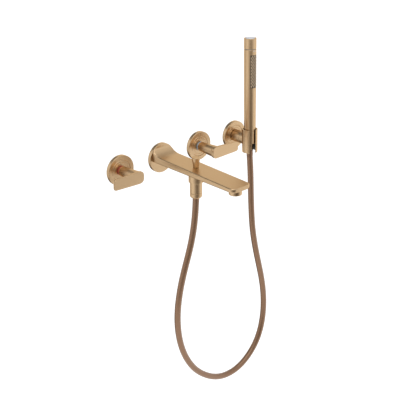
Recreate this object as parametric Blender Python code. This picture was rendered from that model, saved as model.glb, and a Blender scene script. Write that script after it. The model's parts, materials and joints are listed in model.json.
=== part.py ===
"""Wall mounted bath faucet: two lever valves, a flat spout with a pull-up diverter, and a hand shower.

Row frame: the origin is the centre of the spout's rosette on the wall plane, +X runs along the wall to
the right, +Y runs into the wall and +Z is up. "Out" below is a distance from the wall along -Y.
Turned pieces are outlines of (radius, height) pairs spun about their own axis.
"""

import math

import bmesh
import bpy
import numpy as np

MM = 0.001
CLEAR = 0.3 * MM  # gap kept between pieces that touch

# The row of rosettes on the wall
ROW_PITCH = 100.0 * MM
HOT_X = -ROW_PITCH
COLD_X = ROW_PITCH
HOLDER_X = 2.0 * ROW_PITCH

# Rosettes: hollow discs with a stepped face
ROSETTE_R = 29.6 * MM
ROSETTE_OUT = 8.0 * MM
ROSETTE_RIM = 3.0 * MM
ROSETTE_PLATE = 3.0 * MM
ROSETTE_EDGE = 0.6 * MM
STEP_R = 21.6 * MM
STEP_W = 0.9 * MM
STEP_DROP = 0.4 * MM
GROOVE_DROP = 1.0 * MM
GASKET_T = 0.5 * MM
GASKET_W = 4.0 * MM

# Quarter-turn ceramic valves
BARREL_R = 11.0 * MM
BARREL_BEHIND = 16.0 * MM
BARREL_FLOOR = 4.0 * MM
BARREL_ROOF = 7.0 * MM
INLET_R = 5.0 * MM
NECK_R = 6.7 * MM
SPINDLE_R = 4.5 * MM
SPINDLE_OUT = 24.0 * MM
SPINDLE_FLANGE = 2.4 * MM
DISC_R = 8.6 * MM
FIXED_DISC_T = 2.6 * MM
PORT_R = 2.0 * MM
PORT_AT = 4.8 * MM

# Lever handles
SHAFT_ROOT_R = 9.4 * MM
SHAFT_TOP_R = 11.9 * MM
HANDLE_OUT = 60.0 * MM
LEVER_REACH = 57.0 * MM
LEVER_TAIL = 12.3 * MM
LEVER_ROOT_H = 11.9 * MM
LEVER_TIP_H = 10.2 * MM
LEVER_ROOT_T = 5.5 * MM
LEVER_TIP_T = 3.0 * MM
LEVER_CORNER = 5.0 * MM
LEVER_EDGE = 0.6 * MM
TAIL_POWER = 2.8
RING_T = 2.3 * MM
GRUB_R = 1.5 * MM
GRUB_OUT = 18.0 * MM

# Spout
SPOUT_OUT = 226.2 * MM
SPOUT_HALF_W = 23.9 * MM
SPOUT_TOP_ROOT = 10.7 * MM
SPOUT_TOP_TIP = 5.3 * MM
SPOUT_BOTTOM_ROOT = -3.4 * MM
SPOUT_BOTTOM_TIP = -2.6 * MM
SPOUT_CORNER_R = 9.5 * MM
FLARE_UP = 12.8 * MM
FLARE_OUT = 26.0 * MM
NIPPLE_R = 10.4 * MM
NIPPLE_BEHIND = 16.0 * MM
NIPPLE_SEAT_OUT = 6.2 * MM
NIPPLE_BORE_R = 7.0 * MM
CHANNEL_HALF_W = 8.0 * MM
CHANNEL_WALL = 2.0 * MM

# Aerator
AERATOR_R = 12.0 * MM
AERATOR_THREAD_R = 11.0 * MM
AERATOR_BORE_R = 9.2 * MM
AERATOR_FROM_TIP = 17.0 * MM
AERATOR_BOTTOM = -13.8 * MM
AERATOR_SEAT = 2.0 * MM
WASHER_T = 0.5 * MM

# Diverter and hose outlet
DIVERTER_OUT = 105.0 * MM
KNOB_TOP_R = 8.0 * MM
KNOB_FOOT_R = 5.2 * MM
KNOB_H = 18.8 * MM
DIVERTER_LIFT = 8.0 * MM
ROD_R = 2.0 * MM
BUSH_R = 4.8 * MM
VALVE_R = 7.5 * MM
VALVE_T = 2.0 * MM
SEAT_R = 5.0 * MM
COLLAR_R = 14.0 * MM
COLLAR_H = 17.6 * MM
COLLAR_ROOF = 2.6 * MM
CHAMBER_R = 9.6 * MM
OUTLET_R = 11.5 * MM
HOUSING_H = 21.0 * MM
HOUSING_BORE_R = 7.4 * MM
SPIGOT_H = 6.0 * MM
THREAD_R = 9.3 * MM
NUT_H = 9.8 * MM
NUT_FLOOR = 1.4 * MM
NUT_CHAMFER = 2.4 * MM
TAIL_BORE_R = 3.6 * MM

# Hose
HOSE_R = 6.4 * MM
HOSE_POINT_STEP = 26.0 * MM
HOSE_ROUTE_MM = [
    (0.0, -105.0, -52.7),
    (-1.2, -104.5, -79.0),
    (-4.4, -103.0, -116.0),
    (-11.2, -101.0, -153.5),
    (-21.2, -99.0, -190.0),
    (-30.6, -96.5, -228.0),
    (-36.8, -94.5, -265.0),
    (-38.8, -92.5, -301.0),
    (-35.5, -90.5, -341.0),
    (-25.0, -88.5, -384.0),
    (-7.6, -86.5, -423.0),
    (18.0, -85.0, -460.0),
    (52.0, -84.0, -491.0),
    (89.0, -82.5, -511.5),
    (122.5, -81.0, -518.5),
    (156.0, -79.5, -514.5),
    (188.0, -77.5, -498.5),
    (214.0, -75.5, -471.5),
    (230.5, -73.0, -434.0),
    (236.0, -71.0, -390.5),
    (232.0, -68.5, -337.5),
    (221.8, -66.0, -289.0),
    (211.3, -63.5, -242.0),
    (204.5, -61.0, -198.0),
    (202.0, -58.5, -155.0),
    (201.6, -56.0, -114.0),
    (201.3, -53.9, -74.0),
    (200.0, -51.65, -34.4),
]

# The hand shower and its sleeve share an axis that leans to the wall; their heights are measured
# along it from a point above the holder's arm
LEAN = math.radians(1.5)
CROSS_Z = 10.0 * MM
HANDSET_R = 12.3 * MM
HANDSET_FOOT_R = 11.9 * MM
HANDSET_FOOT = -15.6 * MM
HANDSET_SEAM = 179.2 * MM
HANDSET_TOP = 200.4 * MM
HANDSET_WALL = 1.5 * MM
SEAM_T = 0.6 * MM
SEAM_INSET = 0.4 * MM
BUTTON_R = 9.6 * MM
BUTTON_T = 3.0 * MM
BUTTON_PROUD = 0.4 * MM
BUTTON_TRAVEL = 1.5 * MM
PANEL_LOW = 101.8 * MM
PANEL_HIGH = 168.0 * MM
PANEL_HALF_W = 8.6 * MM
PANEL_INSET = 0.3 * MM
NOZZLE_PITCH = 6.3 * MM
NOZZLE_COLUMNS = 7
NOZZLE_STEP = math.radians(11.0)
NOZZLE_R = 1.0 * MM
NOZZLE_H = 1.5 * MM
MAT_T = 0.8 * MM
PANEL_FACETS = 6
WATERWAY_WALL = 1.6 * MM
INLET_PLUG_H = 12.0 * MM
INLET_BORE_R = 5.3 * MM
HOSE_NUT_R = 7.0 * MM
HOSE_NUT_H = 14.0 * MM
HOSE_TAIL_H = 13.8 * MM
NOSE_H = 5.0 * MM

# Holder for the hand shower
HOLDER_OUT = 50.5 * MM
HOLDER_CLEAR = 0.8 * MM
LINER_T = 0.8 * MM
SLEEVE_WALL = 1.95 * MM
SLEEVE_TOP = 14.2 * MM
SLEEVE_BOTTOM = -34.7 * MM
SLOT_W = 13.3 * MM
SLOT_TURN = math.radians(-21.0)
ARM_R = 12.3 * MM
BOSS_L = 4.2 * MM
ARM_SPIGOT_R = 5.0 * MM
ARM_SPIGOT_L = 4.2 * MM
ARM_NECK_R = 6.7 * MM
PLATE_R = 20.0 * MM
PLATE_T = 3.0 * MM
SCREW_AT = 13.0 * MM
SCREW_R = 2.0 * MM
SCREW_HEAD_R = 3.6 * MM
SCREW_HEAD_T = 1.2 * MM
SCREW_BEHIND = 15.0 * MM

# Facets round the turned pieces
FACETS_BIG = 32
FACETS_MID = 24
FACETS_SMALL = 16
FACETS_TINY = 10

# Finishes: colour, roughness, metallic
BRUSHED_GOLD = ((0.60, 0.40, 0.23), 0.34, 1.0)
BARE_BRASS = ((0.72, 0.55, 0.26), 0.30, 1.0)
STEEL = ((0.62, 0.62, 0.60), 0.32, 1.0)
CERAMIC = ((0.88, 0.88, 0.86), 0.25, 0.0)
BLACK_RUBBER = ((0.03, 0.03, 0.03), 0.70, 0.0)
GREY_RUBBER = ((0.24, 0.20, 0.16), 0.60, 0.0)
RED_PLASTIC = ((0.55, 0.10, 0.07), 0.40, 0.0)
BLUE_PLASTIC = ((0.16, 0.24, 0.34), 0.40, 0.0)
GREY_PLASTIC = ((0.45, 0.46, 0.47), 0.45, 0.0)
PALE_PLASTIC = ((0.72, 0.73, 0.76), 0.40, 0.0)
BRAIDED_HOSE = ((0.26, 0.17, 0.11), 0.42, 0.8)


# ---------------------------------------------------------------------------
# Tools
# ---------------------------------------------------------------------------
def clear_scene():
    for item in list(bpy.data.objects):
        bpy.data.objects.remove(item, do_unlink=True)


def add_finish(item, look):
    """Give an object its own Principled material."""
    colour, roughness, metallic = look
    material = bpy.data.materials.new(item.name)
    material.use_nodes = True
    shader = material.node_tree.nodes["Principled BSDF"]
    shader.inputs["Base Color"].default_value = (*colour, 1.0)
    shader.inputs["Roughness"].default_value = roughness
    shader.inputs["Metallic"].default_value = metallic
    item.data.materials.append(material)


def add_axis(name, place, turn=(0.0, 0.0, 0.0)):
    """An empty that carries the pieces of one axis."""
    axis = bpy.data.objects.new(name, None)
    axis.location = place
    axis.rotation_euler = turn
    bpy.context.collection.objects.link(axis)
    return axis


def add_object(name, bm, look, axis, place=(0.0, 0.0, 0.0), turn=(0.0, 0.0, 0.0)):
    """Turn a bmesh into a placed, shaded object with its faces outwards."""
    bmesh.ops.remove_doubles(bm, verts=bm.verts, dist=1e-7)
    bmesh.ops.recalc_face_normals(bm, faces=bm.faces)
    mesh = bpy.data.meshes.new(name)
    bm.to_mesh(mesh)
    bm.free()
    mesh.shade_smooth()
    mesh.set_sharp_from_angle(angle=math.radians(30.0))
    item = bpy.data.objects.new(name, mesh)
    item.location = place
    item.rotation_euler = turn
    item.parent = axis
    bpy.context.collection.objects.link(item)
    if look is None:
        item.hide_render = True
        item.display_type = "WIRE"
    else:
        add_finish(item, look)
    return item


def turned(name, outline, facets, look, axis, place=(0.0, 0.0, 0.0), turn=(0.0, 0.0, 0.0)):
    """Spin (radius, height) points about Z; an outline that starts and ends at radius 0 stays open."""
    bm = bmesh.new()
    verts = [bm.verts.new((r, 0.0, h)) for r, h in outline]
    edges = [bm.edges.new(pair) for pair in zip(verts, verts[1:])]
    if outline[0][0] > 0.0 or outline[-1][0] > 0.0:
        edges.append(bm.edges.new((verts[-1], verts[0])))
    bmesh.ops.spin(
        bm,
        geom=verts + edges,
        cent=(0.0, 0.0, 0.0),
        axis=(0.0, 0.0, 1.0),
        angle=2.0 * math.pi,
        steps=facets,
        use_merge=True,
    )
    return add_object(name, bm, look, axis, place, turn)


def plug(radius, low, high):
    """Outline of a plain solid cylinder."""
    return [(0.0, high), (radius, high), (radius, low), (0.0, low)]


def ring(inner, outer, low, high):
    """Outline of a plain ring."""
    return [(inner, high), (outer, high), (outer, low), (inner, low)]


def bridge_rings(bm, rings):
    """Skin a list of equal closed rings of points with triangles, which stay flat, and close both ends."""
    rows = [[bm.verts.new(point) for point in points] for points in rings]
    count = len(rows[0])
    for near, far in zip(rows, rows[1:]):
        for i in range(count):
            j = (i + 1) % count
            bm.faces.new((near[i], near[j], far[j]))
            bm.faces.new((near[i], far[j], far[i]))
    bm.faces.new(rows[0])
    bm.faces.new(rows[-1])


def box_rings(x0, x1, y0, y1, z0, z1):
    """Two rings of a box that runs from z0 to z1."""
    return [[(x0, y0, z), (x1, y0, z), (x1, y1, z), (x0, y1, z)] for z in (z0, z1)]


def solid_from_rings(name, rings, look, axis, place=(0.0, 0.0, 0.0), turn=(0.0, 0.0, 0.0)):
    bm = bmesh.new()
    bridge_rings(bm, rings)
    return add_object(name, bm, look, axis, place, turn)


def combine(target, other, operation):
    """Boolean with the default exact solver; the other object stays as a hidden guide."""
    modifier = target.modifiers.new(other.name, "BOOLEAN")
    modifier.operation = operation
    modifier.solver = "EXACT"
    modifier.object = other


# ---------------------------------------------------------------------------
# Rosettes
# ---------------------------------------------------------------------------
def rosette_outline(bore):
    """Hollow disc: rim to the wall, thin front plate with a groove and a lower middle."""
    back = GASKET_T + CLEAR
    inside = ROSETTE_OUT - ROSETTE_PLATE
    middle = ROSETTE_OUT - STEP_DROP
    groove = ROSETTE_OUT - GROOVE_DROP
    return [
        (bore, middle),
        (STEP_R - STEP_W, middle),
        (STEP_R - 0.6 * STEP_W, groove),
        (STEP_R - 0.2 * STEP_W, groove),
        (STEP_R, ROSETTE_OUT),
        (ROSETTE_R - ROSETTE_EDGE, ROSETTE_OUT),
        (ROSETTE_R, ROSETTE_OUT - ROSETTE_EDGE),
        (ROSETTE_R, back),
        (ROSETTE_R - ROSETTE_RIM, back),
        (ROSETTE_R - ROSETTE_RIM, inside),
        (bore, inside),
    ]


def add_gasket(name, axis):
    outer = ROSETTE_R - ROSETTE_EDGE
    turned(name, ring(outer - GASKET_W, outer, 0.0, GASKET_T), FACETS_MID, BLACK_RUBBER, axis)


# ---------------------------------------------------------------------------
# Valves and handles
# ---------------------------------------------------------------------------
def add_valve(side, x, lever_way, ring_look):
    """One quarter-turn valve with its handle; lever_way is -1 for a lever to the left."""
    axis = add_axis(side + "_axis", (x, 0.0, 0.0), (math.pi / 2.0, 0.0, 0.0))
    turned(side + "_rosette", rosette_outline(NECK_R + CLEAR), FACETS_BIG, BRUSHED_GOLD, axis)
    add_gasket(side + "_gasket", axis)

    shoulder = ROSETTE_OUT - ROSETTE_PLATE - CLEAR
    neck_top = ROSETTE_OUT - STEP_DROP - CLEAR
    back = -BARREL_BEHIND
    floor = back + BARREL_FLOOR
    roof = shoulder - BARREL_ROOF
    chamber = DISC_R + CLEAR
    barrel = [
        (SPINDLE_R + CLEAR, neck_top),
        (NECK_R, neck_top),
        (NECK_R, shoulder),
        (BARREL_R, shoulder),
        (BARREL_R, back),
        (INLET_R, back),
        (INLET_R, floor),
        (chamber, floor),
        (chamber, roof),
        (SPINDLE_R + CLEAR, roof),
    ]
    turned(side + "_valve_body", barrel, FACETS_MID, BARE_BRASS, axis)

    fixed_low = floor + CLEAR
    fixed_high = fixed_low + FIXED_DISC_T
    flange_high = roof - CLEAR
    flange_low = flange_high - SPINDLE_FLANGE
    add_ceramic_disc(side + "_fixed_disc", fixed_low, fixed_high, 0.0, axis)
    add_ceramic_disc(side + "_moving_disc", fixed_high + CLEAR, flange_low - CLEAR, math.pi / 2.0, axis)
    spindle = [
        (0.0, SPINDLE_OUT),
        (SPINDLE_R, SPINDLE_OUT),
        (SPINDLE_R, flange_high),
        (DISC_R, flange_high),
        (DISC_R, flange_low),
        (0.0, flange_low),
    ]
    turned(side + "_spindle", spindle, FACETS_SMALL, BARE_BRASS, axis)

    ring_low = ROSETTE_OUT + CLEAR
    ring_high = ring_low + RING_T
    colour_ring = ring(SPINDLE_R + CLEAR, SHAFT_ROOT_R, ring_low, ring_high)
    turned(side + "_colour_ring", colour_ring, FACETS_MID, ring_look, axis)
    add_handle(side, ring_high + CLEAR, lever_way, axis)


def add_ceramic_disc(name, low, high, port_angle, axis):
    """Disc with two round ports; the ports of the two discs line up after a quarter turn."""
    disc = turned(name, plug(DISC_R, low, high), FACETS_SMALL, CERAMIC, axis)
    for i in range(2):
        angle = port_angle + i * math.pi
        place = (PORT_AT * math.cos(angle), PORT_AT * math.sin(angle), 0.0)
        outline = plug(PORT_R, low - PORT_R, high + PORT_R)
        cutter = turned(f"{name}_port_{i + 1}", outline, FACETS_TINY, None, axis, place)
        combine(disc, cutter, "DIFFERENCE")


def lever_outline(inset=0.0):
    """Closed outline of the lever seen from the front: a squarish round tail and a round-cornered tip."""
    tail = LEVER_TAIL - inset
    root = LEVER_ROOT_H - inset
    tip = LEVER_TIP_H - inset
    reach = LEVER_REACH - inset
    corner = LEVER_CORNER - inset
    points = []
    for step in range(13):
        angle = math.pi / 2.0 + math.pi * step / 12.0
        cosine, sine = math.cos(angle), math.sin(angle)
        px = -tail * abs(cosine) ** (2.0 / TAIL_POWER)
        py = math.copysign(root * abs(sine) ** (2.0 / TAIL_POWER), sine)
        points.append((px, py))
    for sign, start in ((-1.0, -math.pi / 2.0), (1.0, 0.0)):
        for step in range(5):
            angle = start + math.pi / 2.0 * step / 4.0
            px = reach - corner + corner * math.cos(angle)
            py = sign * (tip - corner) + corner * math.sin(angle)
            points.append((px, py))
    return points


def lever_back(x, y):
    """Height of the lever's back above the wall: thick at the shaft, thin at the tip."""
    share = min(max((x - SHAFT_TOP_R) / (LEVER_REACH - SHAFT_TOP_R), 0.0), 1.0)
    return HANDLE_OUT - LEVER_ROOT_T + (LEVER_ROOT_T - LEVER_TIP_T) * share


def add_handle(side, foot, lever_way, axis):
    full = lever_outline()
    small = lever_outline(LEVER_EDGE)
    rings = [
        [(lever_way * x, y, lever_back(x, y)) for x, y in small],
        [(lever_way * x, y, lever_back(x, y) + LEVER_EDGE) for x, y in full],
        [(lever_way * x, y, HANDLE_OUT - LEVER_EDGE) for x, y in full],
        [(lever_way * x, y, HANDLE_OUT) for x, y in small],
    ]
    handle = solid_from_rings(side + "_handle", rings, BRUSHED_GOLD, axis)
    shaft_top = HANDLE_OUT - LEVER_ROOT_T / 2.0
    shaft = [(0.0, shaft_top), (SHAFT_TOP_R, shaft_top), (SHAFT_ROOT_R, foot), (0.0, foot)]
    combine(handle, turned(side + "_shaft", shaft, FACETS_MID, None, axis), "UNION")

    socket = plug(SPINDLE_R + CLEAR, foot - RING_T, SPINDLE_OUT + CLEAR)
    combine(handle, turned(side + "_socket", socket, FACETS_SMALL, None, axis), "DIFFERENCE")

    down = (math.pi / 2.0, 0.0, 0.0)
    hole = plug(GRUB_R + CLEAR, 0.0, 2.0 * SHAFT_TOP_R)
    place = (0.0, 0.0, GRUB_OUT)
    combine(handle, turned(side + "_grub_hole", hole, FACETS_TINY, None, axis, place, down), "DIFFERENCE")
    grub = plug(GRUB_R, SPINDLE_R + CLEAR, SHAFT_ROOT_R - CLEAR)
    turned(side + "_grub_screw", grub, FACETS_TINY, STEEL, axis, place, down)


# ---------------------------------------------------------------------------
# Spout
# ---------------------------------------------------------------------------
def spout_share(out):
    return min(max((out - ROSETTE_OUT) / (SPOUT_OUT - ROSETTE_OUT), 0.0), 1.0)


def spout_top(out):
    """Height of the spout's top: a straight fall to the tip, with a hollow flare up to the rosette."""
    height = SPOUT_TOP_ROOT + (SPOUT_TOP_TIP - SPOUT_TOP_ROOT) * spout_share(out)
    left = 1.0 - min(max((out - ROSETTE_OUT) / FLARE_OUT, 0.0), 1.0)
    return height + FLARE_UP * (1.0 - math.sqrt(1.0 - left * left))


def spout_bottom(out):
    return SPOUT_BOTTOM_ROOT + (SPOUT_BOTTOM_TIP - SPOUT_BOTTOM_ROOT) * spout_share(out)


def spout_half_width(out):
    """Half width: straight, with rounded corners at the tip."""
    past = out - (SPOUT_OUT - SPOUT_CORNER_R)
    if past <= 0.0:
        return SPOUT_HALF_W
    lost = SPOUT_CORNER_R - math.sqrt(max(SPOUT_CORNER_R**2 - past**2, 0.0))
    return SPOUT_HALF_W - lost


def spout_section(out):
    """Ring of points across the spout: flat top with soft upper edges and a tucked-under lower edge."""
    half = spout_half_width(out)
    flat = half - 2.6 * MM
    top = spout_top(out)
    bottom = spout_bottom(out)
    right = [
        (0.0, top),
        (0.4 * flat, top),
        (0.68 * flat, top),
        (0.87 * flat, top),
        (flat, top),
        (half - 0.8 * MM, top - 0.8 * MM),
        (half, top - 2.4 * MM),
        (half, bottom + 2.4 * MM),
        (half - 1.6 * MM, bottom + 0.5 * MM),
        (half - 4.0 * MM, bottom),
    ]
    limit = (ROSETTE_R - ROSETTE_EDGE) * math.cos(math.pi / FACETS_BIG) - CLEAR
    right = [(x, min(z, math.sqrt(limit**2 - x**2))) for x, z in right]
    left = [(-x, z) for x, z in right[:0:-1]]
    return [(x, z, out) for x, z in right + left]


def add_spout():
    axis = add_axis("spout_axis", (0.0, 0.0, 0.0), (math.pi / 2.0, 0.0, 0.0))
    straight_end = SPOUT_OUT - SPOUT_CORNER_R
    flare = [ROSETTE_OUT + FLARE_OUT * share for share in (0.04, 0.11, 0.22, 0.38, 0.6, 1.0)]
    tip = [straight_end + SPOUT_CORNER_R * share for share in (0.0, 0.35, 0.62, 0.82, 0.94, 1.0)]
    outs = [ROSETTE_OUT / 2.0, ROSETTE_OUT - CLEAR, *flare, *tip]
    body = solid_from_rings("spout_body", [spout_section(out) for out in outs], BRUSHED_GOLD, axis)
    edge = ROSETTE_OUT - ROSETTE_EDGE
    back = GASKET_T + CLEAR
    disc = [(0.0, ROSETTE_OUT), (ROSETTE_R - ROSETTE_EDGE, ROSETTE_OUT), (ROSETTE_R, edge)]
    disc += [(ROSETTE_R, back), (0.0, back)]
    combine(body, turned("spout_disc", disc, FACETS_BIG, None, axis), "UNION")
    add_gasket("spout_gasket", axis)

    socket = plug(NIPPLE_R + CLEAR, -NIPPLE_R, NIPPLE_SEAT_OUT)
    combine(body, turned("nipple_socket", socket, FACETS_MID, None, axis), "DIFFERENCE")
    aerator_out = SPOUT_OUT - AERATOR_FROM_TIP
    low = -CLEAR
    channel = [
        [
            (-CHANNEL_HALF_W, low, out),
            (CHANNEL_HALF_W, low, out),
            (CHANNEL_HALF_W, high, out),
            (-CHANNEL_HALF_W, high, out),
        ]
        for out, high in (
            (NIPPLE_SEAT_OUT - CLEAR, SPOUT_TOP_ROOT - CHANNEL_WALL),
            (aerator_out, SPOUT_TOP_TIP - CHANNEL_WALL),
        )
    ]
    combine(body, solid_from_rings("water_channel", channel, None, axis), "DIFFERENCE")

    seal_low = NIPPLE_SEAT_OUT - CLEAR - 2.0 * WASHER_T
    nipple = ring(NIPPLE_BORE_R, NIPPLE_R, -NIPPLE_BEHIND, seal_low - CLEAR)
    turned("inlet_nipple", nipple, FACETS_MID, BARE_BRASS, axis)
    seal = ring(NIPPLE_BORE_R, NIPPLE_R - CLEAR, seal_low, NIPPLE_SEAT_OUT - CLEAR)
    turned("nipple_seal", seal, FACETS_SMALL, BLACK_RUBBER, axis)
    return body


def add_aerator(spout):
    out = SPOUT_OUT - AERATOR_FROM_TIP
    axis = add_axis("aerator_axis", (0.0, -out, 0.0))
    socket = plug(AERATOR_THREAD_R + CLEAR, -AERATOR_R, AERATOR_SEAT)
    combine(spout, turned("aerator_socket", socket, FACETS_MID, None, axis), "DIFFERENCE")
    washer_low = AERATOR_SEAT - CLEAR - WASHER_T
    washer = ring(AERATOR_BORE_R, AERATOR_THREAD_R, washer_low, AERATOR_SEAT - CLEAR)
    turned("aerator_seal", washer, FACETS_SMALL, BLACK_RUBBER, axis)
    thread_top = washer_low - CLEAR
    shoulder = spout_bottom(out) - 2.0 * CLEAR
    chamfer = 2.0 * CLEAR
    housing = [
        (AERATOR_BORE_R, thread_top),
        (AERATOR_THREAD_R, thread_top),
        (AERATOR_THREAD_R, shoulder),
        (AERATOR_R, shoulder),
        (AERATOR_R, AERATOR_BOTTOM + chamfer),
        (AERATOR_R - chamfer, AERATOR_BOTTOM),
        (AERATOR_BORE_R, AERATOR_BOTTOM),
    ]
    turned("aerator_housing", housing, FACETS_MID, BRUSHED_GOLD, axis)
    insert_r = AERATOR_BORE_R - CLEAR
    lip = 2.0 * MM
    insert = [
        (0.0, thread_top - lip),
        (insert_r - lip, thread_top - lip),
        (insert_r - lip, thread_top),
        (insert_r, thread_top),
        (insert_r, AERATOR_BOTTOM + lip),
        (0.0, AERATOR_BOTTOM + lip),
    ]
    turned("aerator_insert", insert, FACETS_SMALL, GREY_PLASTIC, axis)


def add_diverter(spout):
    """Pull-up knob, rod and valve: down sends water to the spout, up sends it to the hose."""
    axis = add_axis("diverter_axis", (0.0, -DIVERTER_OUT, 0.0))
    top = spout_top(DIVERTER_OUT)
    bottom = spout_bottom(DIVERTER_OUT)
    slack = 2.0 * BUSH_R
    upper = plug(BUSH_R + CLEAR, 0.0, top + slack)
    combine(spout, turned("bush_hole", upper, FACETS_SMALL, None, axis), "DIFFERENCE")
    lower = plug(SEAT_R, bottom - slack, 0.0 + CHANNEL_WALL)
    combine(spout, turned("outlet_hole", lower, FACETS_SMALL, None, axis), "DIFFERENCE")

    bush = ring(ROD_R + CLEAR, BUSH_R, top - CHANNEL_WALL, top + CLEAR)
    turned("diverter_bush", bush, FACETS_SMALL, BARE_BRASS, axis)
    knob_foot = top + 2.0 * CLEAR
    knob_top = knob_foot + KNOB_H
    crown = 2.0 * CLEAR
    bore_top = knob_foot + KNOB_H / 2.0
    knob = [
        (0.0, knob_top),
        (KNOB_TOP_R - crown, knob_top),
        (KNOB_TOP_R, knob_top - crown),
        (KNOB_FOOT_R, knob_foot),
        (ROD_R + CLEAR, knob_foot),
        (ROD_R + CLEAR, bore_top),
        (0.0, bore_top),
    ]
    turned("diverter_knob", knob, FACETS_MID, BRUSHED_GOLD, axis)

    collar_top = bottom - CLEAR
    roof = collar_top - COLLAR_ROOF
    valve_top = roof - CLEAR - DIVERTER_LIFT
    valve_low = valve_top - VALVE_T
    turned("diverter_rod", plug(ROD_R, valve_low, bore_top - CLEAR), FACETS_SMALL, STEEL, axis)
    valve = ring(ROD_R + CLEAR, VALVE_R, valve_low, valve_top)
    turned("diverter_valve", valve, FACETS_SMALL, BARE_BRASS, axis)
    seal_low = valve_low - CLEAR - 2.0 * WASHER_T
    turned("diverter_seal", plug(VALVE_R, seal_low, valve_low - CLEAR), FACETS_SMALL, BLACK_RUBBER, axis)

    collar_low = collar_top - COLLAR_H
    collar = [
        (SEAT_R, collar_top),
        (COLLAR_R, collar_top),
        (COLLAR_R, collar_low + 2.0 * CLEAR),
        (COLLAR_R - 2.0 * CLEAR, collar_low),
        (CHAMBER_R, collar_low),
        (CHAMBER_R, roof),
        (SEAT_R, roof),
    ]
    turned("outlet_collar", collar, FACETS_MID, BRUSHED_GOLD, axis)
    add_outlet(axis, collar_low, seal_low - CLEAR)


def add_outlet(axis, collar_low, seat):
    """Screwed housing with the check valve, the hose nut, its washer and the hose's tail."""
    top = collar_low - CLEAR
    low = top - HOUSING_H
    spigot_low = low - SPIGOT_H
    spigot_r = CHAMBER_R - CLEAR
    cup = seat - CHANNEL_WALL
    housing = [
        (SEAT_R, seat),
        (spigot_r, seat),
        (spigot_r, top),
        (OUTLET_R, top),
        (OUTLET_R, low),
        (THREAD_R, low),
        (THREAD_R, spigot_low),
        (HOUSING_BORE_R, spigot_low),
        (HOUSING_BORE_R, cup),
        (SEAT_R, cup),
    ]
    turned("outlet_housing", housing, FACETS_MID, BRUSHED_GOLD, axis)
    cartridge_r = HOUSING_BORE_R - CLEAR
    cartridge = [
        (0.0, low + HOUSING_H / 2.0),
        (SEAT_R, low + HOUSING_H / 2.0),
        (SEAT_R, cup - CLEAR),
        (cartridge_r, cup - CLEAR),
        (cartridge_r, low),
        (0.0, low),
    ]
    turned("check_valve", cartridge, FACETS_SMALL, GREY_PLASTIC, axis)

    nut_top = low - CLEAR
    nut_low = nut_top - NUT_H
    floor = nut_low + NUT_FLOOR
    nut = [
        (THREAD_R + CLEAR, nut_top),
        (OUTLET_R, nut_top),
        (OUTLET_R, nut_low + NUT_CHAMFER),
        (OUTLET_R - NUT_CHAMFER, nut_low),
        (HOSE_R + CLEAR, nut_low),
        (HOSE_R + CLEAR, floor),
        (THREAD_R + CLEAR, floor),
    ]
    turned("outlet_hose_nut", nut, FACETS_MID, BRUSHED_GOLD, axis)
    washer_high = spigot_low - CLEAR
    washer_low = washer_high - 2.0 * WASHER_T
    washer = ring(TAIL_BORE_R, THREAD_R, washer_low, washer_high)
    turned("outlet_hose_washer", washer, FACETS_SMALL, BLACK_RUBBER, axis)
    tail = [
        (TAIL_BORE_R, washer_low - CLEAR),
        (THREAD_R, washer_low - CLEAR),
        (THREAD_R, floor + CLEAR),
        (HOSE_R, floor + CLEAR),
        (HOSE_R, nut_low),
        (TAIL_BORE_R, nut_low),
    ]
    turned("outlet_hose_tail", tail, FACETS_SMALL, STEEL, axis)


# ---------------------------------------------------------------------------
# Hose
# ---------------------------------------------------------------------------
def smooth_route(route, step):
    """Points every step along the natural cubic spline, over chord length, through the route."""
    knots = np.asarray(route, dtype=float) * MM
    chord = np.concatenate([[0.0], np.cumsum(np.linalg.norm(np.diff(knots, axis=0), axis=1))])
    gaps = np.diff(chord)
    count = len(knots)
    system = np.zeros((count, count))
    rise = np.zeros((count, 3))
    system[0, 0] = system[-1, -1] = 1.0
    for i in range(1, count - 1):
        system[i, i - 1 : i + 2] = (gaps[i - 1], 2.0 * (gaps[i - 1] + gaps[i]), gaps[i])
        rise[i] = 6.0 * ((knots[i + 1] - knots[i]) / gaps[i] - (knots[i] - knots[i - 1]) / gaps[i - 1])
    bend = np.linalg.solve(system, rise)
    along = np.linspace(0.0, chord[-1], int(round(chord[-1] / step)) + 1)
    left = np.clip(np.searchsorted(chord, along, side="right") - 1, 0, count - 2)
    gap = gaps[left][:, None]
    after = along[:, None] - chord[left][:, None]
    before = gap - after
    return (
        bend[left] * before**3 / (6.0 * gap)
        + bend[left + 1] * after**3 / (6.0 * gap)
        + (knots[left] / gap - bend[left] * gap / 6.0) * before
        + (knots[left + 1] / gap - bend[left + 1] * gap / 6.0) * after
    )


def add_hose():
    points = smooth_route(HOSE_ROUTE_MM, HOSE_POINT_STEP)
    curve = bpy.data.curves.new("shower_hose", "CURVE")
    curve.dimensions = "3D"
    curve.bevel_depth = HOSE_R
    curve.bevel_resolution = 2
    curve.use_fill_caps = True
    spline = curve.splines.new("POLY")
    spline.points.add(len(points) - 1)
    for target, point in zip(spline.points, points):
        target.co = (*point, 1.0)
    item = bpy.data.objects.new("shower_hose", curve)
    bpy.context.collection.objects.link(item)
    add_finish(item, BRAIDED_HOSE)


# ---------------------------------------------------------------------------
# Hand shower
# ---------------------------------------------------------------------------
def handset_radius(height):
    share = (height - HANDSET_FOOT) / (HANDSET_SEAM - HANDSET_FOOT)
    return HANDSET_FOOT_R + (HANDSET_R - HANDSET_FOOT_R) * min(max(share, 0.0), 1.0)


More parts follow.
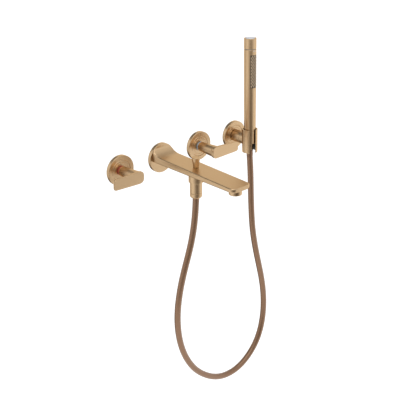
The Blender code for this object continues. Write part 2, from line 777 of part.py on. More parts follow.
def add_handset():
    axis = add_axis("handset_axis", (HOLDER_X, -HOLDER_OUT, CROSS_Z), (-LEAN, 0.0, 0.0))
    body_top = HANDSET_SEAM - SEAM_T / 2.0 - CLEAR
    bore = HANDSET_FOOT_R - HANDSET_WALL
    body_outline = [
        (bore, body_top),
        (HANDSET_R, body_top),
        (HANDSET_FOOT_R, HANDSET_FOOT + CLEAR),
        (HANDSET_FOOT_R - CLEAR, HANDSET_FOOT),
        (bore, HANDSET_FOOT),
    ]
    body = turned("handset_body", body_outline, FACETS_BIG, BRUSHED_GOLD, axis)
    window = box_rings(-PANEL_HALF_W, PANEL_HALF_W, -2.0 * HANDSET_R, 0.0, PANEL_LOW, PANEL_HIGH)
    combine(body, solid_from_rings("panel_window", window, None, axis), "DIFFERENCE")

    seam_r = HANDSET_R - SEAM_INSET
    seam_low = body_top + CLEAR
    seam_high = seam_low + SEAM_T
    turned("handset_seam_ring", ring(bore, seam_r, seam_low, seam_high), FACETS_BIG, GREY_PLASTIC, axis)

    top = HANDSET_TOP
    seat = top - BUTTON_T - BUTTON_TRAVEL
    head = [
        (BUTTON_R + CLEAR, top),
        (HANDSET_R - 2.0 * CLEAR, top),
        (HANDSET_R, top - 2.0 * CLEAR),
        (HANDSET_R, seam_high + CLEAR),
        (bore, seam_high + CLEAR),
        (bore, seat - HANDSET_WALL),
        (SPINDLE_R + CLEAR, seat - HANDSET_WALL),
        (SPINDLE_R + CLEAR, seat),
        (BUTTON_R + CLEAR, seat),
    ]
    turned("handset_head", head, FACETS_BIG, BRUSHED_GOLD, axis)
    button_top = top + BUTTON_PROUD
    button = [
        (0.0, button_top),
        (BUTTON_R - CLEAR, button_top),
        (BUTTON_R, button_top - CLEAR),
        (BUTTON_R, top - BUTTON_T + CLEAR),
        (SPINDLE_R, top - BUTTON_T + CLEAR),
        (SPINDLE_R, seat - 2.0 * HANDSET_WALL),
        (0.0, seat - 2.0 * HANDSET_WALL),
    ]
    turned("spray_button", button, FACETS_MID, PALE_PLASTIC, axis)

    plug_high = HANDSET_FOOT + CLEAR + INLET_PLUG_H
    water_r = bore - 2.0 * CLEAR
    waterway = ring(water_r - WATERWAY_WALL, water_r, plug_high + CLEAR, PANEL_HIGH + 2.0 * HANDSET_WALL)
    turned("handset_waterway", waterway, FACETS_SMALL, GREY_PLASTIC, axis)
    add_nozzles(axis, bore)
    add_inlet(axis, bore, plug_high)


def curved_plate(name, inner, outer, low, high, look, axis):
    """Plate bent round the hand shower's axis, as wide as the window less its clearance."""
    half_angle = math.asin((PANEL_HALF_W - CLEAR) / outer)
    angles = [half_angle * (2.0 * i / PANEL_FACETS - 1.0) for i in range(PANEL_FACETS + 1)]
    face = [(outer * math.sin(a), -outer * math.cos(a)) for a in angles]
    back = [(inner * math.sin(a), -inner * math.cos(a)) for a in reversed(angles)]
    rings = [[(x, y, z) for x, y in face + back] for z in (low, high)]
    return solid_from_rings(name, rings, look, axis)


def add_nozzles(axis, bore):
    """Backing plate in the window, and the rubber mat on it with staggered columns of nozzles."""
    low = PANEL_LOW + CLEAR
    high = PANEL_HIGH - CLEAR
    outer = handset_radius(PANEL_LOW) - PANEL_INSET
    mat_inner = outer - MAT_T
    curved_plate("nozzle_plate", bore, mat_inner - CLEAR, low, high, GREY_PLASTIC, axis)
    mat = curved_plate("nozzle_mat", mat_inner, outer, low, high, GREY_RUBBER, axis)

    bm = bmesh.new()
    foot = outer - MAT_T / 2.0
    first = PANEL_LOW + NOZZLE_PITCH / 2.0
    for column in range(NOZZLE_COLUMNS):
        angle = NOZZLE_STEP * (column - (NOZZLE_COLUMNS - 1) / 2.0)
        way = np.array([math.sin(angle), -math.cos(angle), 0.0])
        side = np.array([math.cos(angle), math.sin(angle), 0.0])
        shift = NOZZLE_PITCH / 2.0 if column % 2 else 0.0
        room = high - first - shift - NOZZLE_R
        for row in range(int(room / NOZZLE_PITCH) + 1):
            centre = way * foot + np.array([0.0, 0.0, first + shift + row * NOZZLE_PITCH])
            add_nozzle(bm, centre, way, side)
    combine(mat, add_object("nozzle_cones", bm, None, axis), "UNION")


def add_nozzle(bm, centre, way, side):
    """One four-sided rubber cone."""
    up = np.array([0.0, 0.0, 1.0])
    tip = bm.verts.new(tuple(centre + way * NOZZLE_H))
    around = [NOZZLE_R * side, NOZZLE_R * up, -NOZZLE_R * side, -NOZZLE_R * up]
    foot = [bm.verts.new(tuple(centre + offset)) for offset in around]
    bm.faces.new(foot)
    for i in range(4):
        bm.faces.new((foot[i], foot[(i + 1) % 4], tip))


def add_inlet(axis, bore, plug_high):
    """Threaded foot of the hand shower, its filter, and the hose nut, washer and tail below it."""
    plug_low = HANDSET_FOOT + CLEAR
    filter_high = plug_high - HANDSET_WALL - CLEAR
    filter_low = filter_high - 2.0 * WASHER_T
    inlet = [
        (TAIL_BORE_R, plug_high),
        (bore - CLEAR, plug_high),
        (bore - CLEAR, plug_low),
        (INLET_BORE_R, plug_low),
        (INLET_BORE_R, filter_high + CLEAR),
        (TAIL_BORE_R, filter_high + CLEAR),
    ]
    turned("handset_inlet", inlet, FACETS_SMALL, BARE_BRASS, axis)
    turned("inlet_filter", plug(INLET_BORE_R - CLEAR, filter_low, filter_high), FACETS_TINY, STEEL, axis)

    nut_top = HANDSET_FOOT - CLEAR
    nut_low = nut_top - HOSE_NUT_H
    nose_r = INLET_BORE_R - CLEAR
    nose_top = nut_top + NOSE_H
    nut = [
        (TAIL_BORE_R, nose_top),
        (nose_r, nose_top),
        (nose_r, nut_top),
        (HOSE_NUT_R - CLEAR, nut_top),
        (HOSE_NUT_R, nut_top - CLEAR),
        (HOSE_NUT_R, nut_low),
        (TAIL_BORE_R, nut_low),
    ]
    turned("handset_hose_nut", nut, FACETS_MID, BRUSHED_GOLD, axis)
    washer = ring(TAIL_BORE_R, nose_r, nose_top + CLEAR, filter_low - CLEAR)
    turned("handset_hose_washer", washer, FACETS_TINY, BLACK_RUBBER, axis)
    tail_top = nut_low - CLEAR
    tail = ring(TAIL_BORE_R, HOSE_R + CLEAR / 2.0, tail_top - HOSE_TAIL_H, tail_top)
    turned("handset_hose_tail", tail, FACETS_SMALL, STEEL, axis)


# ---------------------------------------------------------------------------
# Holder
# ---------------------------------------------------------------------------
def add_holder():
    axis = add_axis("holder_axis", (HOLDER_X, 0.0, 0.0), (math.pi / 2.0, 0.0, 0.0))
    turned("holder_rosette", rosette_outline(ARM_NECK_R + CLEAR), FACETS_BIG, BRUSHED_GOLD, axis)
    add_gasket("holder_gasket", axis)
    plate = turned("fixing_plate", plug(PLATE_R, 0.0, PLATE_T), FACETS_SMALL, STEEL, axis)
    for i, up in enumerate((-SCREW_AT, SCREW_AT)):
        place = (0.0, up, 0.0)
        hole = plug(SCREW_R + CLEAR, -PLATE_T, 2.0 * PLATE_T)
        cutter = turned(f"screw_hole_{i + 1}", hole, FACETS_TINY, None, axis, place)
        combine(plate, cutter, "DIFFERENCE")
        head_low = PLATE_T + CLEAR
        screw = [
            (0.0, head_low + SCREW_HEAD_T),
            (SCREW_HEAD_R, head_low + SCREW_HEAD_T),
            (SCREW_HEAD_R, head_low),
            (SCREW_R, head_low),
            (SCREW_R, -SCREW_BEHIND),
            (0.0, -SCREW_BEHIND),
        ]
        turned(f"wall_screw_{i + 1}", screw, FACETS_TINY, STEEL, axis, place)

    liner_r = HANDSET_FOOT_R + HOLDER_CLEAR
    bore_r = liner_r + LINER_T + CLEAR
    sleeve_r = bore_r + SLEEVE_WALL
    boss_out = HOLDER_OUT - sleeve_r - BOSS_L
    arm_end = boss_out - CLEAR
    face = ROSETTE_OUT + CLEAR
    arm = [
        (0.0, arm_end + ARM_SPIGOT_L),
        (ARM_SPIGOT_R, arm_end + ARM_SPIGOT_L),
        (ARM_SPIGOT_R, arm_end),
        (ARM_R, arm_end),
        (ARM_R, face),
        (ARM_NECK_R, face),
        (ARM_NECK_R, PLATE_T + 2.0 * CLEAR),
        (0.0, PLATE_T + 2.0 * CLEAR),
    ]
    turned("holder_arm", arm, FACETS_MID, BRUSHED_GOLD, axis)

    upright = add_axis("sleeve_axis", (HOLDER_X, -HOLDER_OUT, CROSS_Z), (-LEAN, 0.0, 0.0))
    edge = 2.0 * CLEAR
    outline = [
        (0.0, SLEEVE_TOP),
        (sleeve_r - CLEAR, SLEEVE_TOP),
        (sleeve_r, SLEEVE_TOP - CLEAR),
        (sleeve_r, SLEEVE_BOTTOM + edge),
        (sleeve_r - edge, SLEEVE_BOTTOM),
        (0.0, SLEEVE_BOTTOM),
    ]
    sleeve = turned("holder_sleeve", outline, FACETS_BIG, BRUSHED_GOLD, upright)
    boss = plug(ARM_R, boss_out, HOLDER_OUT - sleeve_r / 2.0)
    combine(sleeve, turned("arm_boss", boss, FACETS_MID, None, axis), "UNION")
    through = plug(bore_r, 2.0 * SLEEVE_BOTTOM, -2.0 * SLEEVE_BOTTOM)
    combine(sleeve, turned("sleeve_bore", through, FACETS_BIG, None, upright), "DIFFERENCE")
    spigot_hole = plug(ARM_SPIGOT_R + CLEAR, 0.0, arm_end + ARM_SPIGOT_L + CLEAR)
    combine(sleeve, turned("spigot_hole", spigot_hole, FACETS_SMALL, None, axis), "DIFFERENCE")
    grub_out = boss_out + GRUB_R + CLEAR
    down = (math.pi / 2.0, 0.0, 0.0)
    hole = plug(GRUB_R, 0.0, 2.0 * ARM_R)
    cutter = turned("holder_grub_hole", hole, FACETS_TINY, None, axis, (0.0, 0.0, grub_out), down)
    combine(sleeve, cutter, "DIFFERENCE")
    grub = plug(GRUB_R - CLEAR, ARM_SPIGOT_R + CLEAR, ARM_R - CLEAR)
    turned("holder_grub_screw", grub, FACETS_TINY, STEEL, axis, (0.0, 0.0, grub_out), down)

    half = SLOT_W / 2.0
    slot = box_rings(-half, half, -2.0 * sleeve_r, 0.0, 2.0 * SLEEVE_BOTTOM, -2.0 * SLEEVE_BOTTOM)
    slot_cutter = solid_from_rings("hose_slot", slot, None, upright, turn=(0.0, 0.0, SLOT_TURN))
    combine(sleeve, slot_cutter, "DIFFERENCE")
    liner_outline = ring(liner_r, liner_r + LINER_T, SLEEVE_BOTTOM + edge, SLEEVE_TOP - edge)
    liner = turned("sleeve_liner", liner_outline, FACETS_BIG, BLACK_RUBBER, upright)
    combine(liner, slot_cutter, "DIFFERENCE")


def main():
    clear_scene()
    add_valve("hot", HOT_X, -1.0, RED_PLASTIC)
    add_valve("cold", COLD_X, 1.0, BLUE_PLASTIC)
    spout = add_spout()
    add_aerator(spout)
    add_diverter(spout)
    add_hose()
    add_holder()
    add_handset()


main()
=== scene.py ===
"""Wall mounted bath faucet, finished: two lever valves, a flat spout with a pull-up diverter, a hose and a
hand shower in its sleeve.

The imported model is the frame, in metres: +X along the wall, +Y into the wall, +Z up, with the origin at the
middle of the spout's rosette. "Out" is a distance from the wall along -Y. Outlines are (radius, height)
pairs.
"""

import json
import math

import bmesh
import bpy
import numpy as np
from bpy.props import FloatProperty, FloatVectorProperty, IntProperty, PointerProperty
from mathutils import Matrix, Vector


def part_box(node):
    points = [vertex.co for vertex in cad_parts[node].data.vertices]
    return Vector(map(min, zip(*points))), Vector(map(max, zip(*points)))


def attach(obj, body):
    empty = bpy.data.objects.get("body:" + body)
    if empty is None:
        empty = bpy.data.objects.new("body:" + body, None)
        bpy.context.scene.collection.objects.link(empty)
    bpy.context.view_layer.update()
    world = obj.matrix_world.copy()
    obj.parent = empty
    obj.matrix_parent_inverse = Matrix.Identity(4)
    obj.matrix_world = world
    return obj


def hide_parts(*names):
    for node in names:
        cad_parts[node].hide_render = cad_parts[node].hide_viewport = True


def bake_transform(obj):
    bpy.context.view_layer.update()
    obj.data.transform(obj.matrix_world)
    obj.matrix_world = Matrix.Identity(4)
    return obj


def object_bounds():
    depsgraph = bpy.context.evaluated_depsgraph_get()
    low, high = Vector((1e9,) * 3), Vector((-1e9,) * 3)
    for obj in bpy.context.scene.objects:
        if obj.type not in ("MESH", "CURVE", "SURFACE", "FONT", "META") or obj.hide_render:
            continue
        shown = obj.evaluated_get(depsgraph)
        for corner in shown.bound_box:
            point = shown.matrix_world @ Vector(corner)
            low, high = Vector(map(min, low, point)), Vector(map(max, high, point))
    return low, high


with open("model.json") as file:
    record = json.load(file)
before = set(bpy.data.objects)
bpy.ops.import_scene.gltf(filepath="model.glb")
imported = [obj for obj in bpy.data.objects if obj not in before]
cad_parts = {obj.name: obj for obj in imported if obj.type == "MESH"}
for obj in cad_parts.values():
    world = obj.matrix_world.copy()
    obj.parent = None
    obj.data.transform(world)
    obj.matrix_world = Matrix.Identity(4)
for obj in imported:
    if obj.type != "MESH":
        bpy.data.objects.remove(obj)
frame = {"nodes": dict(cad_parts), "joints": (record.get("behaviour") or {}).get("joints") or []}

bl_info = {
    "name": "Bath faucet",
    "version": (1, 0, 0),
    "blender": (4, 5, 0),
    "location": "3D View > Sidebar > Bath faucet",
    "description": "Finishes a wall mounted bath faucet on its packed frame",
    "category": "Object",
}

CAD_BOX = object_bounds()
MM = 0.001
TAU = 2.0 * math.pi
GAP = 0.3 * MM  # gap that the CAD keeps between touching pieces
WELD = 1e-6
SHARP = math.radians(38.0)
ARC_STEPS = 5  # steps in a rounded corner
CORNER_ROOM = 0.36  # most of a side that one rounded corner takes
FLAT_GUARD = 1.3  # where a flat's first point stands, as a share of the corner's reach


# ---------------------------------------------------------------------------
# Sizes and colours that a user would change
# ---------------------------------------------------------------------------
def length_property(name, description, default):
    return FloatProperty(name=name, description=description, default=default, unit="LENGTH", precision=5)


def colour_property(name, description, default):
    return FloatVectorProperty(
        name=name, description=description, default=default, subtype="COLOR", size=3, min=0.0, max=1.0
    )


class FaucetSizes(bpy.types.PropertyGroup):
    """Sizes of the fine surface; the overall sizes come from the frame."""

    turn_steps: IntProperty(
        name="Steps round a turned piece", description="Faces round a turned piece", default=96, min=24
    )
    edge: length_property("Edge", "Radius on the edges of the plated pieces", 0.55 * MM)
    rim_edge: length_property("Rim edge", "Radius on the front edge of a rosette", 0.9 * MM)
    lever_edge: length_property("Lever edge", "Radius on the edges of a lever", 0.7 * MM)
    shaft_fillet: length_property("Shaft fillet", "Hollow fillet where a shaft meets its lever", 2.6 * MM)
    thread_pitch: length_property("Thread pitch", "Distance between two turns of a thread", 1.6 * MM)
    thread_depth: length_property("Thread depth", "Depth of a thread", 0.5 * MM)
    hose_rib_pitch: length_property("Hose rib pitch", "Distance between two turns of the winding", 3.2 * MM)
    hose_rib_depth: length_property("Hose rib depth", "Height of the hose's winding", 0.07 * MM)
    nozzle_height: length_property("Nozzle height", "How far a nozzle stands out of its mat", 1.05 * MM)
    floor_drop: length_property("Floor drop", "Distance from the hose's lowest point to the floor", 0.16)


class FaucetColours(bpy.types.PropertyGroup):
    """Linear colours of the finishes."""

    gold: colour_property("Gold", "Brushed gold plating", (0.61, 0.435, 0.262))
    gold_deep: colour_property("Deep gold", "Brushed gold in the brush lines' hollows", (0.52, 0.352, 0.196))
    hose: colour_property("Hose", "Hose sheath", (0.30, 0.175, 0.105))
    hose_deep: colour_property("Deep hose", "Hose sheath between its turns", (0.20, 0.112, 0.065))
    brass: colour_property("Brass", "Unplated brass", (0.68, 0.50, 0.22))
    steel: colour_property("Steel", "Stainless steel", (0.60, 0.60, 0.59))
    rubber: colour_property("Rubber", "Black seals", (0.022, 0.024, 0.028))
    liner: colour_property("Liner", "Soft liner of the sleeve", (0.030, 0.042, 0.040))
    nozzle: colour_property("Nozzle mat", "Rubber mat of the spray face", (0.050, 0.034, 0.020))
    nozzle_tip: colour_property("Nozzle tip", "Tips of the nozzles", (0.50, 0.37, 0.24))
    pale: colour_property("Pale plastic", "Spray button", (0.60, 0.62, 0.66))
    grey: colour_property("Grey plastic", "Seam ring, cartridge and aerator", (0.30, 0.31, 0.32))
    hot: colour_property("Hot ring", "Ring of the hot valve", (0.47, 0.085, 0.05))
    cold: colour_property("Cold ring", "Ring of the cold valve", (0.42, 0.50, 0.58))
    ceramic: colour_property("Ceramic", "Valve discs", (0.86, 0.85, 0.82))
    floor: colour_property("Floor", "Pale floor", (0.50, 0.50, 0.50))


def sizes():
    return bpy.context.scene.faucet_sizes


def colours():
    return bpy.context.scene.faucet_colours


# ---------------------------------------------------------------------------
# Shader expressions
# ---------------------------------------------------------------------------
class Value:
    """A node's output, with arithmetic that adds Math nodes to its material."""

    def __init__(self, look, output):
        self.look = look
        self.output = output

    def __add__(self, other):
        return self.look.math("ADD", self, other)

    def __radd__(self, other):
        return self.look.math("ADD", other, self)

    def __sub__(self, other):
        return self.look.math("SUBTRACT", self, other)

    def __rsub__(self, other):
        return self.look.math("SUBTRACT", other, self)

    def __mul__(self, other):
        return self.look.math("MULTIPLY", self, other)

    def __rmul__(self, other):
        return self.look.math("MULTIPLY", other, self)

    def __pow__(self, other):
        return self.look.math("POWER", self, other)


class Look:
    """A node tree under construction."""

    def __init__(self, tree):
        self.tree = tree
        self.tree.nodes.clear()

    def node(self, kind, settings=None, inputs=None, output=0):
        """Any node: its settings first, then the values or links of its sockets. Returns one output."""
        made = self.tree.nodes.new(kind)
        for key, setting in (settings or {}).items():
            if key == "stops":
                self.fill_ramp(made.color_ramp, setting)
            else:
                setattr(made, key, setting)
        for key, given in (inputs or {}).items():
            socket = made.inputs[key]
            if isinstance(given, Value):
                self.tree.links.new(given.output, socket)
            else:
                socket.default_value = given
        return Value(self, made.outputs[output]) if made.outputs else None

    @staticmethod
    def fill_ramp(ramp, stops):
        ramp.interpolation = "EASE"
        while len(ramp.elements) < len(stops):
            ramp.elements.new(1.0)
        for element, (place, shade) in zip(ramp.elements, stops):
            element.position = place
            element.color = (*shade, 1.0) if isinstance(shade, tuple) else (shade, shade, shade, 1.0)

    def math(self, operation, *values):
        return self.node("ShaderNodeMath", {"operation": operation}, dict(enumerate(values)))

    def clamped(self, value):
        return self.node("ShaderNodeClamp", None, {"Value": value})

    def place(self, centre=(0.0, 0.0, 0.0), scale=(1.0, 1.0, 1.0)):
        """Object coordinates measured from a centre and stretched."""
        raw = self.node("ShaderNodeTexCoord", output="Object")
        shift = tuple(-c * s for c, s in zip(centre, scale))
        return self.node("ShaderNodeMapping", None, {"Vector": raw, "Location": shift, "Scale": scale})

    def parts(self, vector):
        split = self.node("ShaderNodeSeparateXYZ", None, {0: vector})
        return [Value(self, output) for output in split.output.node.outputs]

    def joined(self, x, y, z):
        return self.node("ShaderNodeCombineXYZ", None, {0: x, 1: y, 2: z})

    def noise(self, vector, scale, detail=2.0):
        inputs = {"Vector": vector, "Scale": scale, "Detail": detail}
        return self.node("ShaderNodeTexNoise", {"noise_dimensions": "3D"}, inputs)

    def mixed(self, share, first, second):
        """Colour mix; a Mix node's colour sockets are its seventh and eighth, and its result the third."""
        settings = {"data_type": "RGBA"}
        first = (*first, 1.0) if isinstance(first, tuple) else first
        second = (*second, 1.0) if isinstance(second, tuple) else second
        return self.node("ShaderNodeMix", settings, {0: share, 6: first, 7: second}, output=2)

    def bump(self, height, strength, distance):
        inputs = {"Strength": strength, "Distance": distance, "Height": height}
        return self.node("ShaderNodeBump", None, inputs)

    def surface(self, inputs):
        shader = self.node("ShaderNodeBsdfPrincipled", None, inputs)
        self.node("ShaderNodeOutputMaterial", None, {"Surface": shader})


def finish_named(name, fill):
    """The material of that name, filled on first use; the frame's own materials have other names."""
    name = "finish_" + name
    if name not in bpy.data.materials:
        material = bpy.data.materials.new(name)
        material.use_nodes = True
        fill(Look(material.node_tree))
    return bpy.data.materials[name]


def colour(name):
    return tuple(getattr(colours(), name))


# ---------------------------------------------------------------------------
# Finishes
# ---------------------------------------------------------------------------
BRUSH_ACROSS = 2600.0  # brush lines per metre, about one every 0.4 mm
BRUSH_ALONG = 38.0
EDGE_TINT = (0.85, 0.68, 0.50)  # tone of the plating seen edge on
DRIFT = 55.0  # slow changes of tone, per metre
DRIFT_ALONG = 0.25 * DRIFT
STRAIGHT_ROUGH = 0.32
TURNED_ROUGH = 0.29


def brushed(look, lines, drift, rough):
    """Plating drawn with fine lines: the lines change its tone, its gloss and its relief a little."""
    tone = look.clamped(0.7 + (lines - 0.5) * 0.6 + (drift - 0.5) * 0.7)
    look.surface(
        {
            "Base Color": look.mixed(tone, colour("gold_deep"), colour("gold")),
            "Metallic": 1.0,
            "Specular Tint": (*EDGE_TINT, 1.0),
            "Roughness": rough + (lines - 0.5) * 0.08 + (drift - 0.5) * 0.05,
            "Normal": look.bump(lines, 0.03, 0.04 * MM),
        }
    )


def lay_scale(lay, along, across):
    """Scales of a pattern along the axis that lay names and across it."""
    return tuple(along if axis == lay else across for axis in "xyz")


def gold(lay):
    """Brushed gold with straight lines along the axis that lay names."""

    def fill(look):
        lines = look.noise(look.place(scale=lay_scale(lay, BRUSH_ALONG, BRUSH_ACROSS)), 1.0, 3.0)
        drift = look.noise(look.place(scale=lay_scale(lay, DRIFT_ALONG, DRIFT)), 1.0)
        brushed(look, lines, drift, STRAIGHT_ROUGH)

    return finish_named("brushed_gold_" + lay, fill)


def turned_gold(name, centre, upright=False):
    """Brushed gold with lines round an axis through the centre, as a lathe leaves them."""

    def fill(look):
        x, y, z = look.parts(look.place(centre))
        across, along = (y, z) if upright else (z, y)
        radius = (x * x + across * across) ** 0.5
        rings = look.joined(radius * BRUSH_ACROSS, along * BRUSH_ACROSS, x * BRUSH_ALONG)
        drift = look.noise(look.place(centre), DRIFT)
        brushed(look, look.noise(rings, 1.0, 3.0), drift, TURNED_ROUGH)

    return finish_named("turned_gold_" + name, fill)


def plain_metal(name, rough):
    """Bare metal with a fine grain and faint stains."""

    def fill(look):
        grain = look.noise(look.place(), 1900.0, 3.0)
        stain = look.noise(look.place(), 70.0, 3.0)
        light = colour(name)
        deep = tuple(0.72 * part for part in light)
        look.surface(
            {
                "Base Color": look.mixed(look.clamped(0.5 + (stain - 0.5) * 1.6), deep, light),
                "Metallic": 1.0,
                "Roughness": rough + (stain - 0.5) * 0.25 + (grain - 0.5) * 0.1,
                "Normal": look.bump(grain, 0.12, 0.08 * MM),
            }
        )

    return finish_named("bare_" + name, fill)


def bare_brass():
    return plain_metal("brass", 0.3)


def bare_steel():
    return plain_metal("steel", 0.3)


def moulded(name, rough):
    """Moulded plastic, rubber or ceramic: a fine surface grain and a slight change of tone."""

    def fill(look):
        grain = look.noise(look.place(), 2400.0, 2.0)
        cloud = look.noise(look.place(), 120.0, 3.0)
        light = colour(name)
        deep = tuple(0.84 * part for part in light)
        look.surface(
            {
                "Base Color": look.mixed(cloud, deep, light),
                "Roughness": rough + (cloud - 0.5) * 0.2,
                "Normal": look.bump(grain, 0.2, 0.06 * MM),
            }
        )

    return finish_named("moulded_" + name, fill)


def black_rubber():
    return moulded("rubber", 0.7)


def grey_plastic():
    return moulded("grey", 0.45)


def hose_sheath():
    """Satin metal-coated sheath: its tone follows the "winding" value that the hose's surface carries."""

    def fill(look):
        winding = look.node("ShaderNodeAttribute", {"attribute_name": "winding"}, output="Fac")
        grain = look.noise(look.place(), 1500.0, 3.0)
        tone = look.clamped(0.35 + 0.35 * winding + 0.6 * (grain - 0.5))
        look.surface(
            {
                "Base Color": look.mixed(tone, colour("hose_deep"), colour("hose")),
                "Metallic": 0.7,
                "Roughness": 0.36 + 0.12 * (grain - 0.5),
                "Coat Weight": 0.12,
                "Normal": look.bump(grain, 0.15, 0.06 * MM),
            }
        )

    return finish_named("hose_sheath", fill)


def nozzle_rubber():
    """Soft mat with lighter nozzles: the "nozzle" value on its surface is 1 on a nozzle's tip."""

    def fill(look):
        tip = look.node("ShaderNodeAttribute", {"attribute_name": "nozzle"}, output="Fac")
        grain = look.noise(look.place(), 1800.0, 2.0)
        look.surface(
            {
                "Base Color": look.mixed(tip, colour("nozzle"), colour("nozzle_tip")),
                "Metallic": 0.55 * tip,
                "Roughness": 0.46 - 0.1 * tip + 0.15 * (grain - 0.5),
                "Normal": look.bump(grain, 0.15, 0.05 * MM),
            }
        )

    return finish_named("nozzle_rubber", fill)


# ---------------------------------------------------------------------------
# Surfaces
# ---------------------------------------------------------------------------
class Axis:
    """A line with two directions across it, so that side, up and along make a right-handed set."""

    def __init__(self, origin, along, side=(1.0, 0.0, 0.0)):
        self.origin = np.array(origin, float)
        self.along = np.array(along, float) / np.linalg.norm(along)
        self.side = np.array(side, float)
        self.up = np.cross(self.along, self.side)

    def points(self, across, up, height):
        """Points from arrays of their places across, up and along the axis."""
        across, up, height = np.broadcast_arrays(across, up, height)
        return (
            self.origin
            + across[..., None] * self.side
            + up[..., None] * self.up
            + height[..., None] * self.along
        )

    def round(self, angle, radius, height):
        return self.points(radius * np.cos(angle), radius * np.sin(angle), height)


def wall_axis(x):
    """Axis out of the wall: side is +X and up is +Z."""
    return Axis((x, 0.0, 0.0), (0.0, -1.0, 0.0))


def full_turn(steps=None):
    return np.linspace(0.0, TAU, steps or sizes().turn_steps, endpoint=False)


def eased(corners, radius):
    """Outline with rounded corners. Each corner gives way to an arc that touches both of its sides, and a
    point just past each end of the arc keeps the flats flat. An end that lies on the axis stays a point."""
    corners = np.asarray(corners, float)
    before = np.roll(corners, 1, axis=0) - corners
    after = np.roll(corners, -1, axis=0) - corners
    before_length = np.linalg.norm(before, axis=1)
    after_length = np.linalg.norm(after, axis=1)
    before = before / before_length[:, None]
    after = after / after_length[:, None]
    half = np.arccos(np.clip((before * after).sum(axis=1), -1.0, 1.0)) / 2.0
    plain = (corners[:, 0] <= WELD) | (half > math.radians(89.0))
    half = np.where(plain, math.radians(45.0), half)
    room = CORNER_ROOM * np.minimum(before_length, after_length)
    reach = np.where(plain, 0.0, np.minimum(np.asarray(radius) / np.tan(half), room))
    arc_radius = reach * np.tan(half)
    middle = before + after
    middle = middle / np.maximum(np.linalg.norm(middle, axis=1), WELD)[:, None]
    middle = middle * (arc_radius / np.sin(half))[:, None]
    first = (before * reach[:, None] - middle)[:, None]
    last = (after * reach[:, None] - middle)[:, None]
    sweep = (math.pi - 2.0 * half)[:, None, None]
    share = np.linspace(0.0, 1.0, ARC_STEPS + 1)[None, :, None]
    arc = (np.sin((1.0 - share) * sweep) * first + np.sin(share * sweep) * last) / np.sin(sweep)
    arc = arc + middle[:, None]
    guard = (FLAT_GUARD * reach)[:, None, None]
    rows = [before[:, None] * guard, arc, after[:, None] * guard]
    return (corners[:, None] + np.concatenate(rows, axis=1)).reshape(-1, 2)


def skin(grid, round_rows=False, round_columns=True):
    """Points and quads of a grid of points; round_ says which of its two ways closes on itself."""
    rows, columns = grid.shape[:2]
    index = np.arange(rows * columns).reshape(rows, columns)
    if round_rows:
        index = np.vstack([index, index[:1]])
    if round_columns:
        index = np.hstack([index, index[:, :1]])
    quads = np.stack([index[:-1, :-1], index[:-1, 1:], index[1:, 1:], index[1:, :-1]], axis=-1)
    return grid.reshape(-1, 3), quads.reshape(-1, 4)


def capped(grid):
    """Grid with its first and last row drawn together to their middles, which closes both ends."""
    middles = [np.broadcast_to(row.mean(axis=0), row.shape) for row in (grid[0], grid[-1])]
    return np.concatenate([middles[0][None], grid, middles[1][None]])


def turned(axis, outline, ease=None, steps=None):
    """Surface of revolution: the outline's radius is spun about the axis at the outline's height. An
    outline that ends on the axis closes there, and any other closes on itself."""
    on_axis = outline[0][0] <= WELD
    points = eased(outline, sizes().edge if ease is None else ease)
    radius, height = points.T[:, :, None]
    return skin(axis.round(full_turn(steps), radius, height), round_rows=not on_axis)


def threaded(low, high, radius):
    """Outline points of a thread cut as rings: the radius runs up and down between its crest and root."""
    pitch = sizes().thread_pitch
    height = np.arange(low, high, pitch / 4.0)
    wave = 0.5 - 0.5 * np.cos(TAU * (height - low) / pitch)
    return np.stack([radius - sizes().thread_depth * (1.0 - wave), height], axis=1)


def new_mesh(name, points, faces, materials, values=None):
    """Mesh from arrays of points and of corner numbers, with its materials and its values at the points."""
    mesh = bpy.data.meshes.new(name)
    mesh.from_pydata(points.tolist(), [], faces.tolist())
    for material in materials:
        mesh.materials.append(material)
    for key, value in (values or {}).items():
        mesh.attributes.new(key, "FLOAT", "POINT").data.foreach_set("value", value.astype(np.float32))
    return mesh


def mend(mesh, turned_in):
    """Welds points that coincide, and turns all faces over if turned_in says that they face inwards."""
    bm = bmesh.new()
    bm.from_mesh(mesh)
    bmesh.ops.remove_doubles(bm, verts=bm.verts, dist=WELD)
    bmesh.ops.recalc_face_normals(bm, faces=bm.faces)
    if turned_in(bm):
        bmesh.ops.reverse_faces(bm, faces=bm.faces)
    bm.to_mesh(mesh)
    bm.free()


def linked(name, data):
    """New object in the scene, at the origin."""
    made = bpy.data.objects.new(name, data)
    bpy.context.scene.collection.objects.link(made)
    return made


def add_piece(name, shells, looks, body, nodes, values=None):
    """One finished piece: its shells, each with its own look, joined in one mesh that rides on a body."""
    looks = looks if isinstance(looks, (list, tuple)) else [looks] * len(shells)
    points = np.concatenate([shell[0] for shell in shells])
    starts = np.cumsum([0] + [len(shell[0]) for shell in shells[:-1]])
    faces = np.concatenate([shell[1] + start for shell, start in zip(shells, starts)])
    materials = list(dict.fromkeys(looks))
    used = np.repeat([materials.index(look) for look in looks], [len(shell[1]) for shell in shells])
    mesh = new_mesh(name, points, faces, materials, values)
    mesh.polygons.foreach_set("material_index", used.astype(np.int32))
    mend(mesh, lambda bm: bm.calc_volume(signed=True) < 0.0)
    mesh.shade_smooth()
    mesh.set_sharp_from_angle(angle=SHARP)
    piece = linked(name, mesh)
    if body is not None:
        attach(piece, body)
    if nodes:
        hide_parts(*nodes)
    return piece


def add_turned(name, node, axis, outline, look, body="root", ease=None, steps=None):
    """Finished piece of one turned surface, which stands for one node."""
    add_piece(name, [turned(axis, outline, ease, steps)], look, body, [node])


